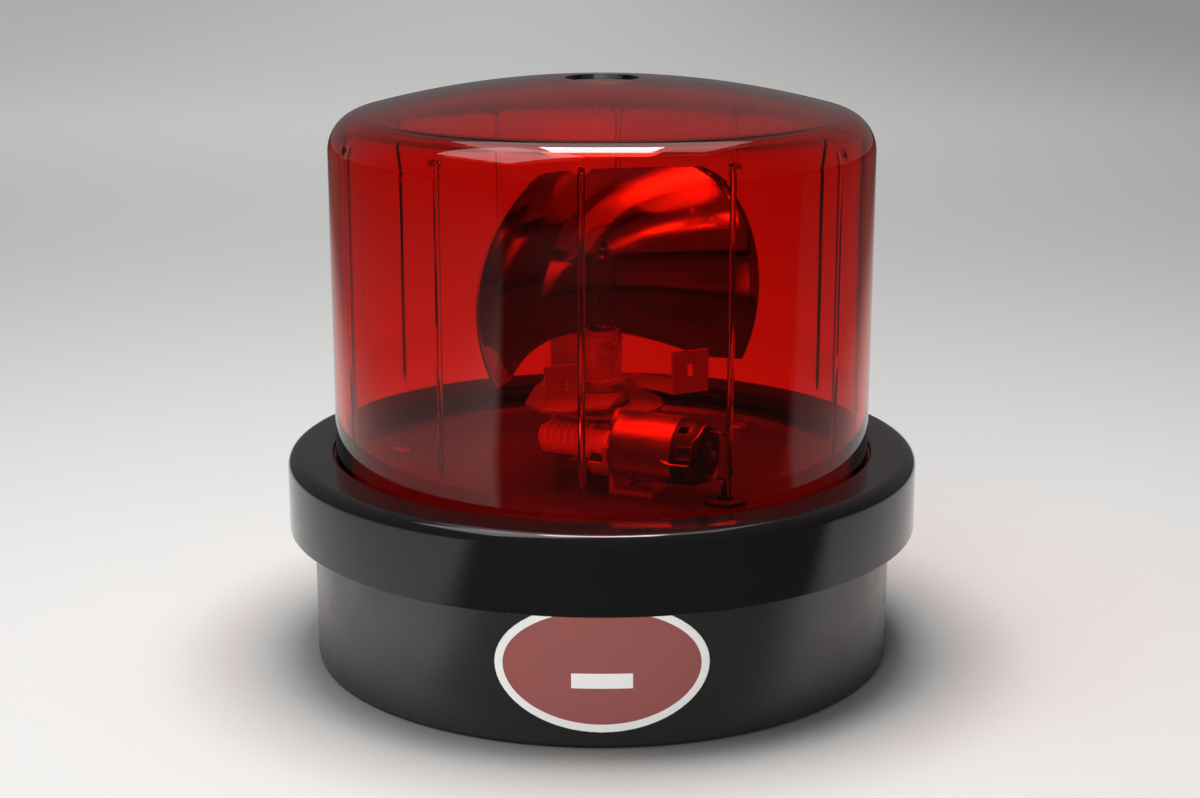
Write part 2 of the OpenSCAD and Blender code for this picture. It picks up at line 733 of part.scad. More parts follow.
module cover_pillars() color("silver") cover_pillar_places() difference() {
    union() {
        translate([0, 0, floor_z]) cylinder(r = cover_pillar_r, h = cover_low_z - floor_z);
        translate([0, 0, floor_low_z - over]) cylinder(r = cover_pillar_r / 2, h = chassis_t + 2 * over);
    }
    translate([0, 0, cover_low_z - long_screw_l])
        cylinder(r = m3_d / 2 + thread_gap, h = long_screw_l + over);
}

module cover_screws() color("silver") cover_pillar_places()
    translate([0, 0, cover_top_z]) screw(m3_d, m3_head_d, m3_head_h, long_screw_l);

// Motor bracket: a foot under the motor, a round upright with a turned lip, a tongue above
bracket_r = motor_r + edge_gap / 2;
bracket_rise = 1.5;
lip_t = 0.8;
lip_s = 10;
lip_from = -70;
lip_to = 50;
tongue_half = 4;
foot_half = 6;
foot_l = 15;
foot_margin = 4;
foot_screw_l = chassis_t + bracket_t + edge_break;

module foot_screw_places() by_motor()
    for (p = [[foot_margin, -foot_half / 2], [foot_margin, foot_half / 2], [foot_l - foot_margin, 0]])
        translate([motor_s - bracket_t + p.x, p.y, -chassis_t]) children();

// The upright's outline, X downwards and Y towards the lamp
module upright_outline() {
    intersection() {
        circle(r = bracket_r);
        translate([-bracket_rise, -bracket_r]) square(2 * bracket_r);
    }
    translate([-motor_screw_off, 0]) circle(r = tongue_half);
    translate([-motor_screw_off, -tongue_half]) square([motor_screw_off, 2 * tongue_half]);
    translate([0, -foot_half]) square([motor_up, 2 * foot_half]);
}

module motor_bracket() color([0.35, 0.35, 0.37]) difference() {
    union() {
        on_motor(motor_s - bracket_t) linear_extrude(height = bracket_t) upright_outline();
        on_motor(lip_s) intersection() {
            washer(bracket_r, bracket_r - lip_t, motor_s - lip_s - bracket_t / 2);
            linear_extrude(height = motor_s) polygon(concat([[0, 0]], arc(0, 0, motor_d, lip_from, lip_to, 2)));
        }
        by_motor() translate([motor_s - bracket_t, -foot_half, 0]) cube([foot_l, 2 * foot_half, bracket_t]);
    }
    on_motor(0) cylinder(r = motor_bush_r, h = motor_s * 2);
    on_motor(0) for (x = [-motor_screw_off, motor_screw_off]) translate([x, 0, 0])
        cylinder(r = m2_d / 2 + drill_gap, h = motor_s * 2);
    foot_screw_places() cylinder(r = m3_d / 2 + thread_gap, h = chassis_t + bracket_t + over);
}

// Their heads are under the floor
module bracket_screws() color("silver") foot_screw_places()
    mirror([0, 0, 1]) screw(m3_d, m3_head_d, m3_head_h, foot_screw_l);

module motor_can() color([0.7, 0.7, 0.72]) on_motor(motor_s) difference() {
    union() {
        translate([0, 0, motor_edge]) cylinder(r = motor_r, h = motor_l - motor_edge);
        cylinder(r1 = motor_r - motor_edge, r2 = motor_r, h = motor_edge);
    }
    translate([0, 0, motor_wall]) cylinder(r = motor_in_r, h = motor_l);
    translate([0, 0, -over]) cylinder(r = motor_bush_r, h = motor_l);
    for (x = [-motor_screw_off, motor_screw_off]) translate([x, 0, -over])
        cylinder(r = m2_d / 2 + thread_gap, h = motor_wall + 2 * over);
}

module motor_screws() color("silver") on_motor(motor_s - bracket_t)
    for (x = [-motor_screw_off, motor_screw_off]) translate([x, 0, 0])
        mirror([0, 0, 1]) screw(m2_d, m2_head_d, m2_head_h, bracket_t + motor_wall);

// Two ring magnets' arcs, from behind the can's front to short of its end
magnet_from = 3.4;
magnet_to = 2.6;
magnet_slot = 0.7;
magnet_s = motor_s + magnet_from;
magnet_l = motor_l - magnet_from - magnet_to;

module motor_magnets() color([0.2, 0.2, 0.22]) on_motor(magnet_s) difference() {
    washer(motor_in_r, magnet_r, magnet_l);
    for (side = [0, 180]) rotate([0, 0, side + 90]) translate([0, 0, -over])
        linear_extrude(height = magnet_l + 2 * over)
            polygon([[0, 0], [motor_r * 2, -motor_r * magnet_slot], [motor_r * 2, motor_r * magnet_slot]]);
}

module front_bush() color([0.7, 0.5, 0.25]) on_motor(bush_front_s)
    washer(motor_bush_r, shaft_r + run_gap, motor_s + bush_in - bush_front_s);

bell_floor_t = 1.2;
bell_wall = 1.4;
boss_wall = 1.6;
brush_wall = 1;
bell_slot_w = 2.6;
bell_slot_s = 1.4;
bell_slot_l = 3;
bell_slots = [40, 140, 220, 320];
socket_step = 1;
comm_room_r = comm_r + socket_step;
holder_half = brush_l / 2 + holder_t;
holder_half_h = brush_h / 2 + holder_t;
holder_out_r = bell_r + edge_gap / 2;

module rear_bush() color([0.7, 0.5, 0.25]) on_motor(bell_end_s - bell_floor_t)
    washer(motor_bush_r, shaft_r + run_gap, bell_floor_t + boss_l - edge_gap);

// The end bell's body, drawn inset by o from its outer face
module bell_body(o, h) rotate_extrude() polygon([[0, 0], [bell_r - o, 0], [bell_r - o, bell_l - bell_taper_l],
    [bell_r - o - bell_taper * (h - bell_l + bell_taper_l) / bell_taper_l, h], [0, h]]);

module motor_end_bell() color([0.05, 0.05, 0.05]) on_motor(motor_end_s) difference() {
    union() {
        bell_body(0, bell_l);
        translate([0, 0, -socket_step]) cylinder(r = motor_in_r - fit_gap, h = 2 * socket_step);
        cylinder(r = motor_bush_r + boss_wall, h = bell_l + boss_l);
    }
    difference() {
        union() {
            bell_body(bell_wall, bell_l - bell_floor_t);
            translate([0, 0, -2 * socket_step]) cylinder(r = bell_r - bell_wall, h = 3 * socket_step);
        }
        rotate_to_brushes() translate([comm_room_r, -holder_half_h - brush_wall, -bell_l])
            cube([bell_r, 2 * (holder_half_h + brush_wall), bell_l * 2]);
    }
    translate([0, 0, -2 * socket_step])
        cylinder(r = comm_room_r, h = bell_l - bell_floor_t + 2 * socket_step);
    translate([0, 0, bell_l - bell_floor_t - over]) cylinder(r = motor_bush_r, h = bell_l + boss_l);
    brush_places() translate([-holder_half - fit_gap, -holder_half_h - fit_gap, 0])
        cube([2 * (holder_half + fit_gap), 2 * (holder_half_h + fit_gap), bell_r * 2]);
    for (a = bell_slots) rotate([0, 0, a + brush_turn])
        translate([bell_r - bell_wall - over, -bell_slot_w / 2, bell_slot_s])
            cube([bell_wall * 3, bell_slot_w, bell_slot_l]);
    terminal_places() translate([-fit_gap, -fit_gap, -socket_step])
        cube([terminal_t + 2 * fit_gap, terminal_w + 2 * fit_gap, bell_floor_t * 3]);
}

module rotate_to_brushes() for (side = [0, 180]) rotate([0, 0, side + brush_turn]) children();

// The brushes' frames: X along the motor's axis, Z outward from it
module brush_places() rotate_to_brushes() translate([0, 0, brush_s]) rotate([0, 90, 0]) children();

// The terminals' frames: Z along the motor's axis from the bell's inner floor
module terminal_places() for (side = [90, 270]) rotate([0, 0, side + brush_turn])
    translate([terminal_off - terminal_t / 2, -terminal_w / 2, bell_l - bell_floor_t]) children();

// How far a brush ends inside its holder's mouth
brush_sunk = 1.4;

module carbon_brushes() color([0.15, 0.15, 0.15]) on_motor(motor_end_s) brush_places()
    translate([-brush_l / 2 + fit_gap, -brush_h / 2 + fit_gap, comm_r + run_gap])
        cube([brush_l - 2 * fit_gap, brush_h - 2 * fit_gap, holder_out_r - brush_sunk - comm_r]);

// Brass box tubes, open at both ends
module brush_holders() color([0.8, 0.65, 0.3]) on_motor(motor_end_s) brush_places() difference() {
    translate([-holder_half, -holder_half_h, comm_room_r])
        cube([2 * holder_half, 2 * holder_half_h, holder_out_r - comm_room_r]);
    translate([-brush_l / 2, -brush_h / 2, 0]) cube([brush_l, brush_h, bell_r * 2]);
}

// Bare leads from the holders round the end bell's shoulder to the terminals
brush_lead_r = 0.35;
brush_lead_out = 1.6;
brush_lead_turns = [30, 62];

module brush_leads() color([0.7, 0.35, 0.15]) on_motor(motor_end_s) rotate_to_brushes() {
    start = bell_r - brush_lead_r;
    back = bell_l + brush_lead_out;
    wire([[start, -holder_half_h - fit_gap, bell_l - brush_lead_out],
          [start, -holder_half_h - brush_lead_out, bell_l - brush_lead_out],
          for (a = brush_lead_turns) [bell_r * cos(a), -bell_r * sin(a), bell_l],
          [terminal_w / 4, -terminal_off - brush_lead_out, back],
          [terminal_w / 4, -terminal_off - terminal_t / 2 - fit_gap, back]], brush_lead_r, [0.2, -0.1, 1]);
}

module motor_terminals() color([0.85, 0.75, 0.5]) on_motor(motor_end_s) terminal_places()
    translate([0, 0, seat_gap]) cube([terminal_t, terminal_w, bell_floor_t + terminal_proud]);

// Bare wire from the end bell along the can, on the side that faces the front
bond_r = 0.45;
bond_turn = 7;
bond_l = 2.5;
bond_kink = 0.9;
bond_y = -motor_r - bond_r - run_gap;

module bonding_wire() color([0.85, 0.8, 0.7]) on_motor() rotate([0, 0, bond_turn])
    wire([[-bond_kink, bond_y, motor_end_s - bond_l], [0, bond_y, motor_end_s - edge_break],
          [0, bond_y, bell_end_s - bell_taper_l],
          [0, bond_y + bell_taper / 2, bell_end_s - bell_taper_l / 2]],
         bond_r, [1, 0, 0]);

// Insulated leads from the terminals and the lamp to the terminal strip under the floor
// Stages of a lead: straight out of a terminal, through the grommet side by side, down to the strip
strip_x = lead_s - 4;
strip_top = can_wall + strip_h - floor_z;
terminal_end_s = bell_end_s + seat_gap + terminal_proud;
lead_out = 3;
lead_drop = 6;
lead_apart = 2;
lead_gather = 4;
lead_side = 1.1;
lead_spread = 3;
lead_down = 9;

module motor_leads() color([0.1, 0.1, 0.1]) by_motor() for (side = [-1, 1]) {
    y = side * terminal_off * cos(brush_turn);
    z = motor_z - floor_z + side * terminal_off * sin(brush_turn);
    x = strip_x + lead_out;
    wire([[terminal_end_s, y, z], [terminal_end_s + lead_out, y, z],
          [lead_s, side * lead_apart, max(z - lead_drop, lead_drop)],
          [lead_s, side * lead_side, lead_gather], [lead_s, side * lead_side, -lead_drop],
          [x, side * lead_spread, strip_top + lead_down], [x, side * lead_spread, strip_top]],
         lead_r, [0.1, 1, 0]);
}

lamp_lead_r = 0.9;
lamp_lead_x = strip_x - 6;
lamp_lead_down = 8;
lamp_lead_up = 12;

module lamp_lead() color([0.45, 0.05, 0.05]) by_motor()
    wire([[0, gear_cd, post_top_z - plunger_tail - floor_z], [0, gear_cd, -chassis_t],
          [0, gear_cd, -chassis_t - lamp_lead_down], [lamp_lead_x, 0, strip_top + lamp_lead_up],
          [lamp_lead_x, 0, strip_top]], lamp_lead_r, unit([gear_cd, lamp_lead_x, 0]));

// Two screw holes, this far in from the terminal strip's ends
strip_screw_in = 3.5;

module strip_screw_places() for (x = [-1, 1])
    translate([strip_x + x * (strip_l / 2 - strip_screw_in), 0, strip_top]) children();

module terminal_strip() color([0.35, 0.2, 0.1]) by_motor() difference() {
    translate([strip_x - strip_l / 2, -strip_w / 2, strip_top - strip_h]) cube([strip_l, strip_w, strip_h]);
    strip_screw_places() translate([0, 0, -short_screw_l - edge_break])
        cylinder(r = m3_d / 2 + thread_gap, h = long_screw_l);
}

module terminal_screws() color([0.8, 0.7, 0.4]) by_motor() strip_screw_places()
    screw(m3_d, m3_head_d, m3_head_h, short_screw_l);

// Worm wheel: a moulded toothed rim, its teeth leaning with the worm's lead
wheel_lean = wheel_w / worm_pitch_r * gear_module / 2 / wheel_pitch_r * 180 / PI;
half_space = (lead / 2 - backlash) / 2;

function wheel_tooth(a) = let (
        tip = half_space - addendum * tan(flank) - fit_gap,
        root = half_space + dedendum * tan(flank),
        ta = tip / wheel_tip_r * 180 / PI,
        pa = half_space / wheel_pitch_r * 180 / PI,
        ra = root / wheel_root_r * 180 / PI)
    [for (v = [[wheel_root_r, -ra], [wheel_pitch_r, -pa], [wheel_tip_r, -ta],
        [wheel_tip_r, ta], [wheel_pitch_r, pa], [wheel_root_r, ra]])
        [v[0] * cos(a + v[1]), v[0] * sin(a + v[1])]];

module worm_wheel() color([0.85, 0.82, 0.7]) difference() {
    rotate([0, 0, motor_turn - 90 - wheel_lean / 2]) translate([0, 0, wheel_low_z])
        linear_extrude(height = wheel_w, twist = -wheel_lean, slices = 2)
            polygon([for (i = [0 : wheel_teeth - 1]) each wheel_tooth(360 * i / wheel_teeth)]);
    translate([0, 0, wheel_low_z - over]) cylinder(r = hub_r, h = wheel_w + 2 * over);
    rivet_places() translate([0, 0, wheel_low_z - over]) cylinder(r = rivet_r, h = wheel_w + 2 * over);
}

rivet_r = 1;
rivet_count = 3;
rivet_head_r = 1.8;
rivet_head_h = 0.9;

module rivet_places() ring_of(rivet_count, (hub_r + hub_flange_r) / 2, beam_turn) children();

module wheel_hub() color([0.78, 0.62, 0.3]) difference() {
    union() {
        translate([0, 0, hub_low_z]) cylinder(r = hub_r, h = table_low_z - hub_low_z);
        translate([0, 0, hub_low_z]) cylinder(r = hub_flange_r, h = hub_flange_t);
        translate([0, 0, hub_low_z]) cylinder(r = spigot_r, h = table_z - hub_low_z);
    }
    translate([0, 0, hub_low_z - over]) cylinder(r = bush_out_r, h = table_z);
    rivet_places() translate([0, 0, hub_low_z - over]) cylinder(r = rivet_r, h = hub_flange_t + 2 * over);
}

module wheel_rivets() color("silver") rivet_places() {
    translate([0, 0, hub_low_z]) cylinder(r = rivet_r, h = wheel_top_z - hub_low_z);
    translate([0, 0, wheel_top_z]) cylinder(r1 = rivet_head_r, r2 = rivet_r, h = rivet_head_h);
}

module spindle_bush() color([0.7, 0.5, 0.25]) translate([0, 0, hub_low_z])
    washer(bush_out_r, bush_r, table_z - hub_low_z);

// Turntable: a flat plate with two slotted ears in front and a stay behind
module turntable_outline() polygon([[10.5, -0.5], [ear_u - ear_w / 2, -ear_w_pos + 1.5],
    [ear_u - ear_w / 2, -ear_w_pos - table_t], [ear_u + ear_w / 2, -ear_w_pos - table_t],
    [ear_u + ear_w / 2 + 1, -10], [20, 9], [stay_half + 3, stay_w - 3], [stay_half, stay_w + table_t],
    [-stay_half, stay_w + table_t], [-stay_half - 3, stay_w - 3], [-20, 9],
    [-ear_u - ear_w / 2 - 2, -8], [-ear_u - ear_w / 2 - 2, -ear_w_pos - 2],
    [-ear_u - 2, -ear_w_pos - 7.5], [-10, -24]]);

module turntable_bracket() color([0.6, 0.6, 0.62]) on_beam() difference() {
    union() {
        translate([0, 0, table_low_z]) linear_extrude(height = table_t) turntable_outline();
        for (side = [-1, 1]) translate([side * ear_u - ear_w / 2, -ear_w_pos - table_t, table_low_z])
            cube([ear_w, table_t, ear_h + table_t]);
        translate([-stay_half, stay_w, table_low_z])
            cube([2 * stay_half, table_t, stay_top_z - table_low_z - stay_half]);
        translate([0, stay_w, stay_top_z - stay_half]) rotate([-90, 0, 0])
            cylinder(r = stay_half, h = table_t);
    }
    translate([0, 0, table_low_z - over]) cylinder(r = spigot_r, h = table_t + 2 * over);
    for (side = [-1, 1])
        translate([side * ear_u - ear_slot_w / 2, -ear_w_pos - 2 * table_t,
                   table_z + (ear_h - ear_slot_h) / 2])
            cube([ear_slot_w, 3 * table_t, ear_slot_h]);
    boss_screw_places() translate([0, 0, -over])
        cylinder(r = m3_d / 2 + drill_gap, h = table_t + 2 * over);
}

// Places on the back of the stay, their Z pointing forward into the boss
module boss_screw_places() for (dz = [-boss_screw_off, boss_screw_off])
    translate([0, stay_w + table_t, filament_z + dz]) rotate([90, 0, 0]) children();

// Bowl reflector: a paraboloid shell with its focus on the lamp's filament
function bowl_x(r, o) = r * r / (4 * focal) - focal - o;

bowl_steps = 20;

module bowl_solid(o, extra) rotate([90, 0, 0]) rotate_extrude($fn = 128)
    polygon(concat(
        [for (i = [0 : bowl_steps]) let (r = (rim_r + extra) * i / bowl_steps) [r, bowl_x(r, o)]],
        [[0, bowl_x(rim_r + extra, o)]]));

rim_w = bowl_x(rim_r, 0);

module reflector() color([0.9, 0.9, 0.92]) on_beam() difference() {
    translate([0, 0, filament_z]) bowl_solid(bowl_t, 0);
    translate([0, 0, filament_z]) bowl_solid(0, 4);
    translate([-rim_r * 2, -rim_w - 2 * rim_r, 0]) cube([rim_r * 4, 2 * rim_r, 2 * bowl_top_z]);
    translate([-rim_r * 2, -rim_r * 2, bowl_top_z]) cube(rim_r * 4);
    translate([-rim_r * 2, -rim_r * 2, bowl_bottom_z - rim_r * 4]) cube(rim_r * 4);
    translate([0, rim_r * 2, arch_z - arch_r]) rotate([90, 0, 0]) cylinder(r = arch_r, h = rim_r * 4);
}

// Pad soldered to the back of the bowl, for the two screws through the stay
module reflector_boss() color([0.6, 0.6, 0.62]) on_beam() difference() {
    translate([0, stay_w, filament_z]) rotate([90, 0, 0])
        cylinder(r = boss_r, h = stay_w - focal + 3 * bowl_t);
    translate([0, 0, filament_z]) bowl_solid(bowl_t, 0);
    boss_screw_places() cylinder(r = m3_d / 2 + thread_gap, h = table_t + boss_screw_l + drill_gap);
}

module reflector_screws() color("silver") on_beam() boss_screw_places()
    mirror([0, 0, 1]) screw(m3_d, m3_head_d, m3_head_h, table_t + boss_screw_l);

// Worm: one right-hand thread on a plain core, with a collar on the motor's side
worm_step = 15;
worm_root_sink = 0.25;

function thread_ring(s) = let (a = 360 * s / lead - 90,
        tip = half_space - addendum * tan(flank),
        low = half_space + (dedendum + worm_root_sink) * tan(flank),
        r0 = worm_root_r - worm_root_sink)
    [for (v = [[r0, -low], [r0, low], [worm_tip_r, tip], [worm_tip_r, -tip]])
        [v[0] * cos(a), v[0] * sin(a), s + v[1]]];

module worm_thread() {
    first = -worm_back + thread_runout;
    last = worm_front - thread_runout;
    rings = ceil((last - first) / lead * 360 / worm_step);
    points = [for (i = [0 : rings]) each thread_ring(first + (last - first) * i / rings)];
    sides = [for (i = [0 : rings - 1], j = [0 : 3]) let (a = i * 4 + j, b = i * 4 + (j + 1) % 4)
        each [[a, b + 4, b], [a, a + 4, b + 4]]];
    end = rings * 4;
    polyhedron(points, concat([[0, 1, 2, 3]], sides, [[end + 3, end + 2, end + 1, end]]));
}

module worm() color([0.75, 0.7, 0.6]) on_motor() difference() {
    union() {
        translate([0, 0, -worm_back]) cylinder(r = worm_root_r, h = worm_back + worm_front);
        translate([0, 0, worm_front]) cylinder(r = worm_collar_r, h = worm_collar_s - worm_front);
        worm_thread();
    }
    translate([0, 0, -worm_back - over]) cylinder(r = shaft_r, h = worm_back + worm_collar_s + 2 * over);
}

// How far the shaft stands out past the worm and past the end bell
shaft_out = 0.8;

module motor_shaft() color("silver") on_motor(-worm_back - shaft_out)
    cylinder(r = shaft_r, h = worm_back + bell_end_s + boss_l + 2 * shaft_out);

core_in = 3.5;
core_s = magnet_s + core_in;
core_l = magnet_l - 2 * core_in;
core_slots = 5;
core_slot_w = 2;
winding_l = 2.6;

module armature_core() color([0.4, 0.4, 0.42]) on_motor(core_s) difference() {
    washer(core_r, shaft_r, core_l);
    for (i = [1 : core_slots]) rotate([0, 0, 360 * i / core_slots])
        translate([comm_r, -core_slot_w / 2, -over]) cube([core_r, core_slot_w, core_l + 2 * over]);
}

module armature_windings() color([0.7, 0.35, 0.15]) on_motor(core_s)
    for (s = [-winding_l, core_l]) translate([0, 0, s]) washer(core_r - edge_gap, shaft_r, winding_l);

comm_s = core_s + core_l + winding_l;

module commutator() color([0.75, 0.45, 0.25]) on_motor(comm_s)
    washer(comm_r, shaft_r, bell_end_s - bell_floor_t - spin_gap - comm_s);

base_shell();
rating_label();
cable_grommet();
chassis_pillars();
chassis_plate();
chassis_screws();
chassis_grommet();
dome_gasket();
ring_screws();
clamp_ring();
dome();
lamp_post();
post_screws();
thrust_washer();
retaining_collar();
collar_set_screw();
socket_shell();
socket_insulator();
contact_plunger();
contact_spring();
lamp_cap();
lamp_glass();
lamp_filament();
gear_cover();
cover_pillars();
cover_screws();
motor_bracket();
bracket_screws();
motor_can();
motor_screws();
motor_magnets();
front_bush();
rear_bush();
motor_end_bell();
carbon_brushes();
brush_holders();
brush_leads();
motor_terminals();
bonding_wire();
motor_leads();
lamp_lead();
terminal_strip();
terminal_screws();
worm_wheel();
wheel_hub();
wheel_rivets();
spindle_bush();
turntable_bracket();
reflector();
reflector_boss();
reflector_screws();
worm();
motor_shaft();
armature_core();
armature_windings();
commutator();
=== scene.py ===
"""Looks of the rotating beacon: a clear red dome over a bowl reflector, a lamp and a small motor,
on a black can. Metres, +Z up, the underside of the can at z = 0, the front of the light towards -Y."""

import json
import math

import bmesh
import bpy
import numpy as np
from mathutils import Matrix, Vector

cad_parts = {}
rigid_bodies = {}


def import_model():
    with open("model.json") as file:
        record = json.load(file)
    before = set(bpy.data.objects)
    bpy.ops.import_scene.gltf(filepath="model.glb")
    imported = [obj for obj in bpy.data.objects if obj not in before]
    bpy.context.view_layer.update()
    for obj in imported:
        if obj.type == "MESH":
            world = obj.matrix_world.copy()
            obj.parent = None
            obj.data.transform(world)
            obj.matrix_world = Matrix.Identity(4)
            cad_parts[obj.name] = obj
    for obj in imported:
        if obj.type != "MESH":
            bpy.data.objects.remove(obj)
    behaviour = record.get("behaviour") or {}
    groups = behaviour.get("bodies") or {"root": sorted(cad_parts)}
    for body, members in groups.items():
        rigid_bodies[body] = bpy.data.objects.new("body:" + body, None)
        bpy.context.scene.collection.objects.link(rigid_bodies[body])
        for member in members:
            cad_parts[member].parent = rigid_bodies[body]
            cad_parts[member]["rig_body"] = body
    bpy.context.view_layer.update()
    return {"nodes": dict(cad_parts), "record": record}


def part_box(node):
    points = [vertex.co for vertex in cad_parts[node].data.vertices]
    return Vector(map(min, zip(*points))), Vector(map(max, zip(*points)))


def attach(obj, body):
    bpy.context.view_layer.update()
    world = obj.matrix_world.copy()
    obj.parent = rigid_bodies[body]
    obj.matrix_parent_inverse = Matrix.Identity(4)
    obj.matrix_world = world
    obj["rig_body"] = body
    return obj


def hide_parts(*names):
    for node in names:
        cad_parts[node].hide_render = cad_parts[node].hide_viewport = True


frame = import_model()

MM = 0.001

# Sizes of the part, as in its source
can_r = 94 * MM
ring_r = can_r + 8 * MM
ring_wall = 2.2 * MM
ring_edge_r = 4 * MM
dome_flange_w = 7.55 * MM
dome_r = can_r - dome_flange_w
dome_wall = 2.8 * MM
dome_in_r = dome_r - dome_wall
ring_hole_r = dome_r + 0.85 * MM
crown_r = 297 * MM
shoulder_r = 12.5 * MM
sink_r = 11.6 * MM
sink_depth = 1 * MM
bead_count = 12
bead_w = 1.9 * MM
bead_turn = math.radians(-94)
bead_start = 13 * MM
bead_point = 6 * MM
bead_over = 4.2 * MM
beam_turn = math.radians(28)
motor_turn = math.radians(-26)
gear_cd = 20.5 * MM
filament_z = 118.3 * MM
focal = 19 * MM
rim_r = 51 * MM
bowl_t = 1 * MM
bowl_up = 42.2 * MM
bowl_down = 24.3 * MM
arch_h = 7.8 * MM
arch_r = 82 * MM
gear_module = 0.75 * MM
worm_pitch_r = 4.75 * MM
backlash = 0.22 * MM
flank = math.radians(20)
worm_back = 10.8 * MM
worm_front = 8 * MM
worm_collar_r = 3.9 * MM
worm_collar_l = 5.5 * MM
thread_runout = 1 * MM
shaft_r = 1.5 * MM
motor_r = 11.1 * MM
motor_s = 17 * MM
motor_l = 21 * MM
bell_l = 8.4 * MM
bell_r = motor_r - 0.1 * MM
bell_taper = 1.6 * MM
bell_taper_l = 3.4 * MM
glass_r = 4.6 * MM
glass_wall = 0.7 * MM
glass_grip = 3 * MM
cap_wall = 0.7 * MM

# Levels, read from the frame
rim_top_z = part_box("dome_gasket")[0].z
dome_low_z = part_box("dome")[0].z
dome_top_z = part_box("dome")[1].z + crown_r - math.sqrt(crown_r ** 2 - sink_r ** 2)
flange_top_z = dome_low_z + 3 * MM
ring_low_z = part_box("clamp_ring")[0].z
ring_top_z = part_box("clamp_ring")[1].z
motor_z = (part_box("motor_can")[0].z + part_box("motor_can")[1].z) / 2
cap_top_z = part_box("lamp_cap")[1].z
cap_r = 5.6 * MM
glass_foot_z = cap_top_z - glass_grip
motor_end_s = motor_s + motor_l
bell_end_s = motor_end_s + bell_l

nodes = frame["nodes"]
slot_of = {s["node"]: s["material_slot"] for s in frame["record"]["subparts"]}


# Node trees

def put(tree, kind, props=None, **inputs):
    """Adds a node; each input is a socket to link or a value, and spaces in names are underscores."""
    made = tree.nodes.new(kind)
    for name, value in (props or {}).items():
        setattr(made, name, value)
    for name, value in inputs.items():
        feed(tree, made.inputs[name.replace("_", " ")], value)
    return made


def feed(tree, socket, value):
    if isinstance(value, bpy.types.NodeSocket):
        tree.links.new(value, socket)
    else:
        socket.default_value = value


def calc(tree, operation, *values):
    """A Math node's result."""
    made = tree.nodes.new("ShaderNodeMath")
    made.operation = operation
    for socket, value in zip(made.inputs, values):
        feed(tree, socket, value)
    return made.outputs[0]


def times(tree, a, b):
    return calc(tree, "MULTIPLY", a, b)


def plus(tree, a, b):
    return calc(tree, "ADD", a, b)


def minus(tree, a, b):
    return calc(tree, "SUBTRACT", a, b)


def over(tree, a, b):
    return calc(tree, "DIVIDE", a, b)


def clipped(tree, value):
    """The value kept between 0 and 1."""
    return calc(tree, "MAXIMUM", calc(tree, "MINIMUM", value, 1.0), 0.0)


def close_to(tree, a, b, gap):
    """1 where a is less than the gap away from b, and 0 elsewhere."""
    return calc(tree, "LESS_THAN", calc(tree, "ABSOLUTE", minus(tree, a, b)), gap)


def new_group(name, kind, inputs, outputs):
    """An empty node group with the named sockets: {name: (socket type, default)}."""
    tree = bpy.data.node_groups.new(name, kind)
    for label, (socket, value) in inputs.items():
        made = tree.interface.new_socket(label, in_out="INPUT", socket_type=socket)
        if value is not None:
            made.default_value = value
    for label, socket in outputs.items():
        tree.interface.new_socket(label, in_out="OUTPUT", socket_type=socket)
    return tree, tree.nodes.new("NodeGroupInput").outputs, tree.nodes.new("NodeGroupOutput").inputs


def use_group(tree, group, **inputs):
    made = tree.nodes.new("ShaderNodeGroup")
    made.node_tree = group
    for name, value in inputs.items():
        feed(tree, made.inputs[name.replace("_", " ")], value)
    return made.outputs


def noise(tree, where, scale, detail=3.0, roughness=0.55):
    made = put(tree, "ShaderNodeTexNoise", Vector=where, Scale=scale, Detail=detail, Roughness=roughness)
    return made.outputs[0]


def ramp(tree, value, span, low=0.0, high=1.0):
    """Goes smoothly from low to high while the value crosses the span, and stays there beyond it."""
    made = put(tree, "ShaderNodeMapRange", {"interpolation_type": "SMOOTHSTEP"}, Value=value)
    for name, number in zip(("From Min", "From Max", "To Min", "To Max"), (*span, low, high)):
        made.inputs[name].default_value = number
    return made.outputs[0]


NOISE_SPAN = (0.35, 0.65)


def spread(tree, value, low, high):
    """The middle of a noise, where nearly all of it lies, spread from low to high."""
    return ramp(tree, value, NOISE_SPAN, low, high)


def mix_colour(tree, share, a, b):
    made = tree.nodes.new("ShaderNodeMix")
    made.data_type = "RGBA"
    feed(tree, made.inputs["Factor"], share)
    feed(tree, made.inputs[6], a)
    feed(tree, made.inputs[7], b)
    return made.outputs[2]


def rgba(r, g, b):
    return (r, g, b, 1.0)


FLOAT = "NodeSocketFloat"
COLOUR = "NodeSocketColor"
VECTOR = "NodeSocketVector"
dust_colour = rgba(0.42, 0.39, 0.35)


